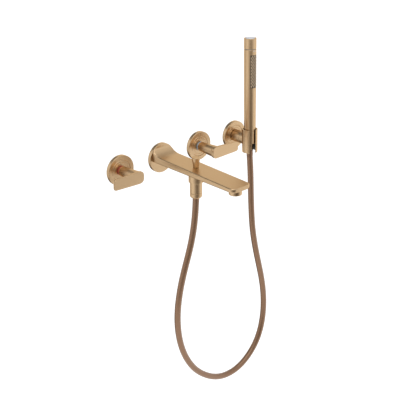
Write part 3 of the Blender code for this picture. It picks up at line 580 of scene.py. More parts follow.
# ---------------------------------------------------------------------------
# Places, read from the frame
# ---------------------------------------------------------------------------
def corners(node):
    """Lowest and highest corner of a node's box."""
    return [np.array(corner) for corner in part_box(node)]


class Span:
    """A node's box as a turned piece sees it: its centre, its radius and its two ends along the axis."""

    def __init__(self, node, outward):
        low, high = corners(node)
        self.centre = (low + high) / 2.0
        self.radius = (high[0] - low[0]) / 2.0
        self.low, self.high = (-high[1], -low[1]) if outward else (low[2], high[2])

    def axis(self):
        """Upright axis through the centre, with its heights measured from the frame's origin."""
        return Axis((self.centre[0], self.centre[1], 0.0), (0.0, 0.0, 1.0))


def on_wall(node):
    return Span(node, True)


def upright(node):
    return Span(node, False)


JOINTS = {joint["name"]: joint for joint in frame["joints"]}


def lean_axis():
    """The axis that the hand shower and its sleeve share."""
    swivel = JOINTS["handset_swivel"]
    return Axis(swivel["pos_m"], swivel["axis"])


def lean_span(node):
    """Lowest and highest height of a turned piece along the leaning axis, taken from its box."""
    axis = lean_axis()
    low, high = corners(node)
    radius = (high[0] - low[0]) / 2.0
    tilt = radius * abs(axis.along[1])
    bottom = (low[2] - axis.origin[2] + tilt) / axis.along[2]
    top = (high[2] - axis.origin[2] - tilt) / axis.along[2]
    return radius, bottom, top


# ---------------------------------------------------------------------------
# Stage: floor, camera, lights
# ---------------------------------------------------------------------------
CAMERA_AZIMUTH = math.radians(-42.82)
CAMERA_ELEVATION = math.radians(23.41)
CAMERA_DISTANCE = 1.7962
CAMERA_AIM = (0.107584, 0.0, -0.123481)
CAMERA_LENS = 77.55
SENSOR = 36.0
FLOOR_R = 14.0
FLOOR_GLOW = 0.74


def add_aimed(name, data, azimuth, elevation, distance):
    """Camera or lamp that faces the aim from its azimuth and elevation round the object."""
    level = math.cos(elevation)
    toward = Vector((math.sin(azimuth) * level, -math.cos(azimuth) * level, math.sin(elevation)))
    made = linked(name, data)
    made.location = Vector(CAMERA_AIM) + distance * toward
    made.rotation_euler = (-toward).to_track_quat("-Z", "Y").to_euler()
    return made


def add_camera():
    data = bpy.data.cameras.new("camera")
    camera = add_aimed("camera", data, CAMERA_AZIMUTH, CAMERA_ELEVATION, CAMERA_DISTANCE)
    camera.data.lens = CAMERA_LENS
    camera.data.sensor_width = SENSOR
    camera.data.clip_end = 100.0
    bpy.context.scene.camera = camera


def floor_height():
    return CAD_BOX[0][2] - sizes().floor_drop


def add_floor():
    """Round floor under the object: a flat disc from rings of points that are spaced out evenly."""
    axis = Axis((0.0, 0.0, floor_height()), (0.0, 0.0, 1.0))
    radius = np.linspace(0.0, FLOOR_R, 8)[:, None]
    points, quads = skin(axis.round(full_turn(96), radius, 0.0 * radius))

    def fill(look):
        grain = look.noise(look.place(), 9.0, 4.0)
        pale = colour("floor")
        look.surface(
            {
                "Base Color": look.mixed(grain, tuple(0.99 * part for part in pale), pale),
                "Roughness": 0.9,
                "Specular IOR Level": 0.1,
                "Emission Color": (1.0, 1.0, 1.0, 1.0),
                "Emission Strength": FLOOR_GLOW,
            }
        )

    mesh = new_mesh("floor", points, quads, [finish_named("pale_floor", fill)])
    mend(mesh, lambda bm: bm.faces[0].normal.z < 0.0)
    linked("floor", mesh)


ROOM_LIGHT = 1.12
# Brightness of the room by angle, from behind the object round by its left, the camera and its right, as
# pairs of a share of a turn and a grey: the ring of soft boxes at eye level, and the darker ring above it
ROOM_STOPS = [
    (0.0, 1.0),
    (0.15, 0.9),
    (0.3, 1.0),
    (0.42, 0.8),
    (0.5, 0.6),
    (0.58, 0.65),
    (0.7, 0.95),
    (1.0, 1.0),
]
UPPER_STOPS = [(0.0, 0.5), (0.06, 0.16), (0.22, 0.16), (0.32, 0.6), (0.6, 0.8), (0.84, 0.75), (1.0, 0.5)]
# Share of the darker ring, by height: 0 is straight down, 0.5 level, 1 straight up
UPPER_SHARE = [(0.0, 0.0), (0.655, 0.0), (0.715, 1.0), (0.84, 1.0), (0.93, 0.0), (1.0, 0.0)]


def add_room():
    """World light: a ring of soft boxes at eye level, with a darker ring above it behind the object."""
    world = bpy.data.worlds.new("room")
    world.use_nodes = True
    bpy.context.scene.world = world
    look = Look(world.node_tree)
    way = look.node("ShaderNodeTexCoord", output="Generated")
    toward = (math.sin(CAMERA_AZIMUTH), -math.cos(CAMERA_AZIMUTH), 0.0)
    right = (math.cos(CAMERA_AZIMUTH), math.sin(CAMERA_AZIMUTH), 0.0)
    dot = {"operation": "DOT_PRODUCT"}
    ahead = look.node("ShaderNodeVectorMath", dot, {0: way, 1: toward}, output="Value")
    aside = look.node("ShaderNodeVectorMath", dot, {0: way, 1: right}, output="Value")
    turn = look.math("ARCTAN2", aside, ahead) * (1.0 / TAU) + 0.5
    level_ring = look.node("ShaderNodeValToRGB", {"stops": ROOM_STOPS}, {"Fac": turn})
    upper_ring = look.node("ShaderNodeValToRGB", {"stops": UPPER_STOPS}, {"Fac": turn})
    lift = look.math("ARCSINE", look.parts(way)[2]) * (1.0 / math.pi) + 0.5
    share = look.node("ShaderNodeValToRGB", {"stops": UPPER_SHARE}, {"Fac": lift})
    light = look.mixed(share, level_ring, upper_ring)
    background = look.node("ShaderNodeBackground", None, {"Color": light, "Strength": ROOM_LIGHT})
    look.node("ShaderNodeOutputWorld", None, {"Surface": background})


LAMP_WATTS = 22.0
LAMP_SIZE = 2.6
LAMP_AZIMUTH = math.radians(-30.0)
LAMP_ELEVATION = math.radians(66.0)
LAMP_DISTANCE = 2.6


def add_lamp():
    light = bpy.data.lights.new("overhead_softbox", "AREA")
    light.energy = LAMP_WATTS
    light.size = LAMP_SIZE
    add_aimed("overhead_softbox", light, LAMP_AZIMUTH, LAMP_ELEVATION, LAMP_DISTANCE)


# Dark screens that only reflections see, each with its glow. The upright one bends round the object on the
# camera's side: (degrees to the camera's right, cover). The lying one is under and behind the object.
SCREEN_R = 1.0
SCREEN_Z = (-0.68, 0.16)
SCREEN_FADE = 0.2  # height over which its top thins out
SCREEN_COVER = [
    (-140, 0.0),
    (-122, 0.4),
    (-104, 0.5),
    (-84, 0.2),
    (-64, 0.0),
    (-45, 0.05),
    (-30, 0.25),
    (-12, 0.65),
    (8, 0.95),
    (26, 1.0),
    (45, 0.85),
    (62, 0.4),
    (78, 0.06),
    (95, 0.0),
]
SCREEN_GLOW = (0.100, 0.070, 0.045)
CARD_CENTRE = (0.10, 0.58)
CARD_SIZE = (1.40, 0.80)
CARD_LIFT = 0.02
CARD_GLOW = (0.160, 0.115, 0.080)


def add_dark_sheet(name, grid, cover, glow):
    """Stage sheet that hides the room in reflections as far as its cover says."""

    def fill(look):
        share = look.node("ShaderNodeAttribute", {"attribute_name": "cover"}, output="Fac")
        grain = look.noise(look.place(), 12.0)
        inputs = {
            "Base Color": (0.0, 0.0, 0.0, 1.0),
            "Specular IOR Level": 0.0,
            "Alpha": share,
            "Emission Color": look.mixed(grain, tuple(0.8 * part for part in glow), glow),
            "Emission Strength": 1.0,
        }
        look.surface(inputs)

    points, quads = skin(grid, round_columns=False)
    mesh = new_mesh(name, points, quads, [finish_named(name, fill)], {"cover": cover.reshape(-1)})
    sheet = linked(name, mesh)
    sheet.visible_camera = False
    sheet.visible_shadow = False
    sheet.visible_diffuse = False


def add_dark_sheets():
    """A bent screen, whose cover follows SCREEN_COVER round the object and fades at its top, and a flat
    card, whose cover falls off towards its edges as a product of two cosines."""
    degrees = np.linspace(SCREEN_COVER[0][0], SCREEN_COVER[-1][0], 95)[None, :]
    height = np.linspace(SCREEN_Z[0], SCREEN_Z[1], 25)[:, None]
    angle = CAMERA_AZIMUTH + np.radians(degrees)
    x = CAMERA_AIM[0] + SCREEN_R * np.sin(angle)
    y = -SCREEN_R * np.cos(angle)
    grid = np.stack(np.broadcast_arrays(x, y, height), axis=-1)
    fade = np.clip((SCREEN_Z[1] - height) / SCREEN_FADE, 0.0, 1.0)
    cover = np.interp(degrees, *zip(*SCREEN_COVER)) * fade
    add_dark_sheet("camera_side_screen", grid, cover, SCREEN_GLOW)
    across, along = np.meshgrid(np.linspace(-0.5, 0.5, 25), np.linspace(-0.5, 0.5, 25))
    fades = np.clip(2.0 * np.cos(math.pi * np.array([across, along])), 0.0, 1.0)
    x = CARD_CENTRE[0] + CARD_SIZE[0] * across
    y = CARD_CENTRE[1] + CARD_SIZE[1] * along
    level = np.full_like(across, floor_height() + CARD_LIFT)
    add_dark_sheet("under_card", np.stack([x, y, level], axis=-1), fades[0] * fades[1], CARD_GLOW)


class FAUCET_OT_stage(bpy.types.Operator):
    """Camera at the viewing angle, pale floor, soft lights"""

    bl_idname = "faucet.stage"
    bl_label = "Stage"

    def execute(self, context):
        context.scene.view_settings.view_transform = "Standard"
        add_camera()
        add_floor()
        add_room()
        add_lamp()
        add_dark_sheets()
        return {"FINISHED"}


# ---------------------------------------------------------------------------
# Hose
# ---------------------------------------------------------------------------
# Middle line of the hose, from its outlet under the spout round to the hand shower
HOSE_ROUTE = [
    (0.0, -0.105, -0.0527),
    (-0.0012, -0.1045, -0.079),
    (-0.0044, -0.103, -0.116),
    (-0.0112, -0.101, -0.1535),
    (-0.0212, -0.099, -0.19),
    (-0.0306, -0.0965, -0.228),
    (-0.0368, -0.0945, -0.265),
    (-0.0388, -0.0925, -0.301),
    (-0.0355, -0.0905, -0.341),
    (-0.025, -0.0885, -0.384),
    (-0.0076, -0.0865, -0.423),
    (0.018, -0.085, -0.46),
    (0.052, -0.084, -0.491),
    (0.089, -0.0825, -0.5115),
    (0.1225, -0.081, -0.5185),
    (0.156, -0.0795, -0.5145),
    (0.188, -0.0775, -0.4985),
    (0.214, -0.0755, -0.4715),
    (0.2305, -0.073, -0.434),
    (0.236, -0.071, -0.3905),
    (0.232, -0.0685, -0.3375),
    (0.2218, -0.066, -0.289),
    (0.2113, -0.0635, -0.242),
    (0.2045, -0.061, -0.198),
    (0.202, -0.0585, -0.155),
    (0.2016, -0.056, -0.114),
    (0.2013, -0.0539, -0.074),
    (0.2, -0.05165, -0.0344),
]
HOSE_R = 6.4 * MM
HOSE_STEP = 0.55 * MM
HOSE_FACES = 28


def smooth_route(route, step):
    """Points every step along the natural cubic spline, over chord length, through the route's points. The
    bend at each knot solves the usual tridiagonal system, whose three diagonals are built as arrays."""
    knots = np.asarray(route, float)
    gaps = np.linalg.norm(np.diff(knots, axis=0), axis=1)
    chord = np.concatenate([[0.0], np.cumsum(gaps)])
    slope = np.diff(knots, axis=0) / gaps[:, None]
    middle = np.concatenate([[1.0], 2.0 * (gaps[:-1] + gaps[1:]), [1.0]])
    below = np.concatenate([gaps[:-1], [0.0]])
    above = np.concatenate([[0.0], gaps[1:]])
    system = np.diag(middle) + np.diag(below, -1) + np.diag(above, 1)
    rise = np.zeros_like(knots)
    rise[1:-1] = 6.0 * np.diff(slope, axis=0)
    bend = np.linalg.solve(system, rise)
    along = np.linspace(0.0, chord[-1], int(round(chord[-1] / step)) + 1)
    left = np.clip(np.searchsorted(chord, along, side="right") - 1, 0, len(knots) - 2)
    gap = gaps[left][:, None]
    after = along[:, None] - chord[left][:, None]
    before = gap - after
    return (
        bend[left] * before**3 / (6.0 * gap)
        + bend[left + 1] * after**3 / (6.0 * gap)
        + (knots[left] / gap - bend[left] * gap / 6.0) * before
        + (knots[left + 1] / gap - bend[left + 1] * gap / 6.0) * after
    )


def hose_surface(route):
    """Tube along the route: each point stands off it by the hose's radius, in the two directions across it,
    and a shallow helix of the winding's pitch runs round it. Returns the shell and its winding values."""
    tangent = np.gradient(route, axis=0)
    tangent /= np.linalg.norm(tangent, axis=1)[:, None]
    side = np.cross(tangent, (0.0, 1.0, 0.0))
    side /= np.linalg.norm(side, axis=1)[:, None]
    across = np.cross(side, tangent)
    step = np.linalg.norm(np.diff(route, axis=0), axis=1)
    distance = np.concatenate([[0.0], np.cumsum(step)])[:, None]
    angle = full_turn(HOSE_FACES)[None, :]
    wave = np.cos(angle - TAU * distance / sizes().hose_rib_pitch)
    winding = np.clip(0.5 + 0.9 * wave, 0.0, 1.0)
    radius = HOSE_R - sizes().hose_rib_depth * (1.0 - winding)
    grid = (
        route[:, None]
        + (radius * np.cos(angle))[..., None] * side[:, None]
        + (radius * np.sin(angle))[..., None] * across[:, None]
    )
    closed = capped(grid)
    values = np.vstack([winding[:1], winding, winding[-1:]])
    return skin(closed), values.reshape(-1)


class FAUCET_OT_hose(bpy.types.Operator):
    """Hose from the outlet down, round and up to the hand shower"""

    bl_idname = "faucet.hose"
    bl_label = "Hose"

    def execute(self, context):
        route = smooth_route(HOSE_ROUTE, HOSE_STEP)
        shell, winding = hose_surface(route)
        values = {"winding": winding}
        hose = add_piece("hose", [shell], hose_sheath(), None, ["shower_hose"], values)
        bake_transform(hose)
        return {"FINISHED"}


# ---------------------------------------------------------------------------
# Rosettes, gaskets and what stands behind the wall
# ---------------------------------------------------------------------------
STEP_SHARE = 0.73  # the step in a rosette's face, as a share of its radius
STEP_W = 1.7 * MM
STEP_DROP = 0.45 * MM
GROOVE_DROP = 1.0 * MM
LINE_SHARE = 0.56  # the fine groove inside the step, as a share of the radius
LINE_W = 1.0 * MM
LINE_DROP = 0.4 * MM
PLATE = 3.0 * MM
ROSETTE_BORE_R = 7.0 * MM
ROSETTE_STEPS = 128  # faces round a rosette
GASKET_W = 4.0 * MM
FINE_EASE = 0.12 * MM


def rosette_outline(span, bore):
    """Hollow disc with a thin front, a groove and a slightly lower middle."""
    front, back, rim = span.high, span.low, span.radius
    step = STEP_SHARE * rim
    line = LINE_SHARE * rim
    middle = front - STEP_DROP
    return [
        (bore, middle),
        (line - LINE_W, middle),
        (line - 0.7 * LINE_W, middle - LINE_DROP),
        (line - 0.3 * LINE_W, middle - LINE_DROP),
        (line, middle),
        (step - STEP_W, middle),
        (step - 0.65 * STEP_W, front - GROOVE_DROP),
        (step - 0.25 * STEP_W, front - GROOVE_DROP),
        (step, front),
        (rim, front),
        (rim, back),
        (rim - PLATE, back),
        (rim - PLATE, front - PLATE),
        (bore, front - PLATE),
    ]


def rosette_ease():
    """Corner radii to match rosette_outline: large on the rim, small in the groove."""
    edge = sizes().edge
    fine = np.array([0.2, 0.15, 0.1, 0.1, 0.15, 0.2, 0.15, 0.15, 0.2]) * MM
    return [*fine, sizes().rim_edge, edge, edge, edge, edge]


def ring_outline(inner, outer, low, high):
    return [(inner, high), (outer, high), (outer, low), (inner, low)]


def add_gasket(name):
    node = name + "_gasket"
    span = on_wall(node)
    outline = ring_outline(span.radius - GASKET_W, span.radius, span.low, span.high)
    axis = wall_axis(span.centre[0])
    add_turned(name + "_seal_ring", node, axis, outline, black_rubber(), ease=FINE_EASE)


class FAUCET_OT_rosettes(bpy.types.Operator):
    """Stepped rosettes of the two valves and the holder, and all four gaskets"""

    bl_idname = "faucet.rosettes"
    bl_label = "Rosettes"

    def execute(self, context):
        for name in ("hot", "cold", "holder"):
            node = name + "_rosette"
            span = on_wall(node)
            x = span.centre[0]
            outline = rosette_outline(span, ROSETTE_BORE_R)
            shell = turned(wall_axis(x), outline, rosette_ease(), ROSETTE_STEPS)
            look = turned_gold(node, (x, 0.0, 0.0))
            add_piece(name + "_stepped_rosette", [shell], look, "root", [node])
        for name in ("hot", "cold", "spout", "holder"):
            add_gasket(name)
        return {"FINISHED"}


BARREL_NECK_R = 6.7 * MM
BARREL_BORE_R = 4.8 * MM
BARREL_INLET_R = 5.0 * MM
BARREL_CHAMBER_R = 8.9 * MM
BARREL_FLOOR = 4.0 * MM
NIPPLE_BORE_R = 7.0 * MM
THREAD_LEAD = 1.0 * MM  # plain length before a thread starts
SHOULDER_DROP = 2.6 * MM
ROOF_DROP = 9.6 * MM


def barrel_outline(span):
    """Threaded barrel of a valve with its chamber, its shoulder and its neck."""
    shoulder = span.high - SHOULDER_DROP
    floor = span.low + BARREL_FLOOR
    roof = span.high - ROOF_DROP
    thread = threaded(span.low + THREAD_LEAD, 0.0, span.radius)[::-1]
    return np.vstack(
        [
            [
                (BARREL_BORE_R, span.high),
                (BARREL_NECK_R, span.high),
                (BARREL_NECK_R, shoulder),
                (span.radius, shoulder),
                (span.radius, 0.4 * MM),
            ],
            thread,
            [
                (span.radius - sizes().thread_depth, span.low),
                (BARREL_INLET_R, span.low),
                (BARREL_INLET_R, floor),
                (BARREL_CHAMBER_R, floor),
                (BARREL_CHAMBER_R, roof),
                (BARREL_BORE_R, roof),
            ],
        ]
    )


class FAUCET_OT_fixings(bpy.types.Operator):
    """Valve barrels, inlet nipple and wall screws, which show from behind"""

    bl_idname = "faucet.fixings"
    bl_label = "Wall fixings"

    def execute(self, context):
        for name in ("hot", "cold"):
            span = on_wall(name + "_valve_body")
            self.add_brass(name + "_threaded_barrel", name + "_valve_body", span, barrel_outline(span))
        span = on_wall("inlet_nipple")
        thread = threaded(span.low + THREAD_LEAD, -THREAD_LEAD, span.radius)[::-1]
        outline = np.vstack(
            [
                [(NIPPLE_BORE_R, span.high), (span.radius, span.high), (span.radius, 0.0)],
                thread,
                [(span.radius - sizes().thread_depth, span.low), (NIPPLE_BORE_R, span.low)],
            ]
        )
        self.add_brass("threaded_nipple", "inlet_nipple", span, outline)
        for number in (1, 2):
            self.add_screw(f"wall_screw_{number}")
        return {"FINISHED"}

    @staticmethod
    def add_brass(name, node, span, outline):
        axis = wall_axis(span.centre[0])
        add_turned(name, node, axis, outline, bare_brass(), ease=FINE_EASE)

    @staticmethod
    def add_screw(node):
        """Pan-head screw: its shank is a ringed thread that comes to a point, and its head has a recess in
        the shape of a cross."""
        span = on_wall(node)
        axis = Axis((span.centre[0], 0.0, span.centre[2]), (0.0, -1.0, 0.0))
        shank = 2.0 * MM
        head_low = span.high - 1.2 * MM
        thread = threaded(span.low + 2.0 * MM, head_low - 1.0 * MM, shank)[::-1]
        outline = np.vstack(
            [
                [(0.0, span.high), (0.75 * span.radius, span.high), (span.radius, head_low + 0.3 * MM)],
                [(span.radius, head_low), (shank, head_low)],
                thread,
                [(0.6 * shank, span.low + 1.2 * MM), (0.0, span.low)],
            ]
        )
        radius, height = eased(outline, 0.1 * MM).T[:, :, None]
        angle = full_turn(48)[None, :]
        arm = np.clip((np.abs(np.sin(2.0 * angle)) - 0.35) / 0.2, 0.0, 1.0)
        in_head = (height > head_low + 0.3 * MM) & (radius < 0.55 * span.radius)
        sunk = height - 0.8 * MM * in_head * (1.0 - arm) * np.clip(radius / (0.3 * MM), 0.0, 1.0)
        shell = skin(axis.round(angle, radius, sunk))
        add_piece(node + "_threaded", [shell], bare_steel(), "root", [node])


# ---------------------------------------------------------------------------
# Handles
# ---------------------------------------------------------------------------
LEVER_TIP_SHARE = 0.857  # tip half height as a share of the root's
LEVER_CORNER = 5.0 * MM
LEVER_ROOT_T = 5.5 * MM
LEVER_TIP_T = 3.0 * MM
TAIL_POWER = 2.8
SHAFT_FOOT_SHARE = 0.79  # shaft radius at the foot as a share of the top
SPINDLE_BORE_R = 4.8 * MM
SPINDLE_BORE_OUT = 24.3 * MM
GRUB_OUT = 18.0 * MM
GRUB_HOLE_R = 1.8 * MM
GRUB_FLOOR = 1.4 * MM
GRUB_REACH = 1.15  # how far past the hole the surface is drawn finely, as a share of the hole's radius


def lever_outline(tail, root, reach, inset):
    """Closed outline of a lever seen from the front. The tail is half of a squarish oval, |x/tail|^p +
    |y/root|^p = 1, the sides taper to the tip, and the tip's two corners are quarter circles."""
    tip = LEVER_TIP_SHARE * root - inset
    corner = LEVER_CORNER - inset
    tail, root, reach = tail - inset, root - inset, reach - inset
    angle = np.linspace(0.5 * math.pi, 1.5 * math.pi, 65)
    power = 2.0 / TAIL_POWER
    oval_x = -tail * np.abs(np.cos(angle)) ** power
    oval_y = root * np.sign(np.sin(angle)) * np.abs(np.sin(angle)) ** power
    quarter = np.linspace(-0.5 * math.pi, 0.0, 13)
    low_x, low_y = reach - corner + corner * np.cos(quarter), corner - tip + corner * np.sin(quarter)
    along = np.linspace(0.06, 0.94, 12)
    side_x, side_y = along * (reach - corner), -(root + (tip - root) * along)
    x = np.concatenate([oval_x, side_x, low_x, low_x[::-1], side_x[::-1]])
    y = np.concatenate([oval_y, side_y, low_y, -low_y[::-1], -side_y[::-1]])
    return x, y


def lever_shell(axis, way, tail, root, reach, front):
    """Slab between its back, which slopes towards the tip, and its flat front, with quarter-round edges."""
    edge = sizes().lever_edge
    arc = np.linspace(0.0, 0.5 * math.pi, ARC_STEPS + 1)
    inset = np.concatenate([[3.0 * edge, 1.5 * edge], edge * (1.0 - np.sin(arc))])
    rise = np.concatenate([[0.0, 0.0], edge * (1.0 - np.cos(arc))])
    rows = []
    for near_back in (True, False):
        order = range(len(inset)) if near_back else range(len(inset) - 1, -1, -1)
        for i in order:
            x, y = lever_outline(tail, root, reach, inset[i])
            share = np.clip((x - root) / (reach - root), 0.0, 1.0)
            back = front - LEVER_ROOT_T + (LEVER_ROOT_T - LEVER_TIP_T) * share
            height = back + rise[i] if near_back else np.full_like(x, front - rise[i])
            rows.append(axis.points(way * x, y, height))
    return skin(capped(np.array(rows)))


def shaft_shell(axis, way, foot, foot_r, top_r, front, tail, root):
    """Cone from the foot to the lever with a bore for the spindle, a hollow fillet that spreads on to the
    lever's back but stays inside its outline, and a sunk hole for the grub screw underneath."""
    fillet = sizes().shaft_fillet
    meet = front - LEVER_ROOT_T
    top = meet + 0.5 * LEVER_ROOT_T
    edge = 0.35 * MM
    hole = GRUB_OUT + np.linspace(-GRUB_REACH, GRUB_REACH, 29) * GRUB_HOLE_R
    spread = meet - fillet * np.cos(np.linspace(0.0, 0.5 * math.pi, 12))
    height = np.unique(np.concatenate([[foot + edge, foot + 2.0 * edge], hole, spread, [top]]))
    near_hole = 1.5 * math.pi + np.linspace(-GRUB_REACH, GRUB_REACH, 37) * GRUB_HOLE_R / foot_r
    angle = np.unique(np.concatenate([full_turn(), near_hole]))
    cone = foot_r + (top_r - foot_r) * (height - foot) / (meet - foot)
    left = np.clip((meet - height) / fillet, 0.0, 1.0)
    flare = fillet * (1.0 - np.sqrt(1.0 - (1.0 - left) ** 2))
    cosine, sine = np.abs(np.cos(angle)), np.abs(np.sin(angle))
    oval = ((cosine / tail) ** TAIL_POWER + (sine / root) ** TAIL_POWER) ** (-1.0 / TAIL_POWER)
    slab = root / np.maximum(sine, 0.02)
    limit = np.where(way * np.cos(angle) < 0.0, oval, slab) - sizes().lever_edge
    radius = np.minimum(cone[:, None] + flare[:, None], np.maximum(limit[None, :], cone[:, None] - edge))
    aside = (angle - 1.5 * math.pi)[None, :] * cone[:, None]
    from_hole = np.hypot(aside, (height - GRUB_OUT)[:, None])
    radius = radius - GRUB_FLOOR * np.clip((GRUB_HOLE_R - from_hole) / (0.12 * MM), 0.0, 1.0)
    wall = axis.round(angle[None, :], radius, height[:, None])
    foot_radius = np.array([0.0, SPINDLE_BORE_R, SPINDLE_BORE_R, SPINDLE_BORE_R + edge, foot_r - edge])
    foot_height = np.array([SPINDLE_BORE_OUT, SPINDLE_BORE_OUT, foot + edge, foot, foot])
    lower = axis.round(angle[None, :], foot_radius[:, None], foot_height[:, None])
    lid = axis.round(angle[None, :], np.zeros((1, 1)), np.array([[top]]))
    return skin(np.concatenate([lower, wall, lid]))


def add_handle(side, way):
    """Lever, marking ring and grub screw of one valve. way is +1 if its lever points along +X, or -1."""
    node = side + "_handle"
    body = side + "_lever"
    low, high = corners(node)
    x = on_wall(side + "_rosette").centre[0]
    axis = wall_axis(x)
    root = (high[2] - low[2]) / 2.0
    reach, tail = (high[0] - x, x - low[0]) if way > 0 else (x - low[0], high[0] - x)
    front, foot = -low[1], -high[1]
    shells = [
        lever_shell(axis, way, tail, root, reach, front),
        shaft_shell(axis, way, foot, SHAFT_FOOT_SHARE * root, root, front, tail, root),
    ]
    add_piece(side + "_lever_handle", shells, [gold("x"), gold("y")], body, [node])

    node = side + "_colour_ring"
    span = on_wall(node)
    outline = ring_outline(SPINDLE_BORE_R, span.radius, span.low, span.high)
    look = moulded(side, 0.35)
    add_turned(side + "_marking_ring", node, axis, outline, look, body, ease=0.35 * MM)
    add_grub_screw(side + "_grub_screw", body)


def add_grub_screw(node, body):
    """Set screw with a pointed inner end and a six-sided recess. The recess's radius at an angle is the
    hexagon's, its half width over the cosine of the angle to the nearest flat."""
    low, high = corners(node)
    radius = (high[0] - low[0]) / 2.0
    centre = (low + high) / 2.0
    axis = Axis((centre[0], centre[1], low[2]), (0.0, 0.0, 1.0))
    length = high[2] - low[2]
    angle = full_turn(60)[None, :]
    to_flat = np.mod(angle, TAU / 6.0) - TAU / 12.0
    hexagon = 0.5 * radius / np.cos(to_flat)
    rim = 0.12 * MM
    shares = [(0.0, 0.35 * length), (1.0, 0.35 * length), (1.0, 0.0)]
    recess = [axis.round(angle, share * hexagon, np.full_like(angle, height)) for share, height in shares]
    outer = np.vstack(
        [
            [(radius - rim, 0.0), (radius, rim)],
            [(radius, 0.8 * length), (0.5 * radius, length), (0.0, length)],
        ]
    )
    body_rows = axis.round(angle, outer[:, :1], outer[:, 1:])
    shell = skin(np.concatenate([np.concatenate(recess), body_rows]))
    add_piece(node + "_socket_head", [shell], bare_steel(), body, [node])


class FAUCET_OT_handles(bpy.types.Operator):
    """Both lever handles with their marking rings and grub screws"""

    bl_idname = "faucet.handles"
    bl_label = "Handles"

    def execute(self, context):
        add_handle("hot", -1.0)
        add_handle("cold", 1.0)
        return {"FINISHED"}


# ---------------------------------------------------------------------------
# Spout and aerator
# ---------------------------------------------------------------------------
SPOUT_HALF_SHARE = 0.8074  # half width as a share of the rosette's radius
SPOUT_TOP_ROOT = 10.7 * MM
SPOUT_TOP_TIP = 5.3 * MM
SPOUT_LOW_ROOT = -3.4 * MM
SPOUT_LOW_TIP = -2.6 * MM
SPOUT_CORNER = 9.5 * MM
FLARE_UP = 12.8 * MM
FLARE_OUT = 26.0 * MM
UPPER_EDGE = (2.6 * MM, 2.4 * MM)
LOWER_EDGE = (4.0 * MM, 2.5 * MM)
NIPPLE_HOLE_R = 10.7 * MM
AERATOR_BORE_R = 9.2 * MM
AERATOR_THREAD_R = 11.0 * MM
AERATOR_NOTCH = 0.9 * MM


class Spout:
    """The spout's measures from the frame: its rosette, its half width and how far out it reaches."""

    def __init__(self):
        low, high = corners("spout_body")
        self.rim = (high[0] - low[0]) / 2.0
        self.reach = -low[1]
        self.back = -high[1]
        self.front = on_wall("hot_rosette").high
        self.half = SPOUT_HALF_SHARE * self.rim

    def share(self, out):
        return np.clip((out - self.front) / (self.reach - self.front), 0.0, 1.0)

    def top(self, out):
        """Straight fall to the tip, with a hollow quarter-oval flare up to the rosette."""
        left = 1.0 - np.clip((out - self.front) / FLARE_OUT, 0.0, 1.0)
        fall = SPOUT_TOP_ROOT + (SPOUT_TOP_TIP - SPOUT_TOP_ROOT) * self.share(out)
        return fall + FLARE_UP * (1.0 - np.sqrt(1.0 - left**2))

    def low(self, out):
        return SPOUT_LOW_ROOT + (SPOUT_LOW_TIP - SPOUT_LOW_ROOT) * self.share(out)

    def half_width(self, out):
        past = np.clip(out - (self.reach - SPOUT_CORNER), 0.0, SPOUT_CORNER)
        return self.half - SPOUT_CORNER + np.sqrt(SPOUT_CORNER**2 - past**2)

    def body(self):
        """Loft along the spout. Across it, the top is flat, the upper edge is a quarter oval, and a longer
        quarter oval tucks the lower edge under."""
        tip = self.reach - SPOUT_CORNER
        flare = self.front + FLARE_OUT * (1.0 - np.cos(np.linspace(0.0, 0.5 * math.pi, 26)))
        straight = np.linspace(self.front + FLARE_OUT, tip, 40)[1:]
        turn_in = tip + SPOUT_CORNER * np.sin(np.linspace(0.0, 0.5 * math.pi, 20))[1:]
        out = np.concatenate([[0.5 * self.front], flare, straight, turn_in])[:, None]
        half, top, low = self.half_width(out), self.top(out), self.low(out)
        quarter = np.linspace(0.0, 0.5 * math.pi, 9)[None, :]
        flat_x = np.linspace(0.0, 1.0, 14)[None, :-1] * (half - UPPER_EDGE[0])
        upper_x = half - UPPER_EDGE[0] * (1.0 - np.sin(quarter))
        upper_z = top - UPPER_EDGE[1] * (1.0 - np.cos(quarter))
        lower_x = half - LOWER_EDGE[0] * (1.0 - np.cos(quarter))
        lower_z = low + LOWER_EDGE[1] * (1.0 - np.sin(quarter))
        under_x = np.linspace(1.0, 0.0, 8)[None, 1:] * (half - LOWER_EDGE[0])
        x = np.hstack([flat_x, upper_x, lower_x, under_x])
        z = np.hstack([top + 0.0 * flat_x, upper_z, lower_z, low + 0.0 * under_x])
        limit = (self.rim - 1.0 * MM) ** 2
        z = np.minimum(z, np.sqrt(np.maximum(limit - x**2, 0.0)))
        x = np.hstack([x, -x[:, -2:0:-1]])
        z = np.hstack([z, z[:, -2:0:-1]])
        grid = wall_axis(0.0).points(x, z, out + 0.0 * x)
        return skin(capped(grid))


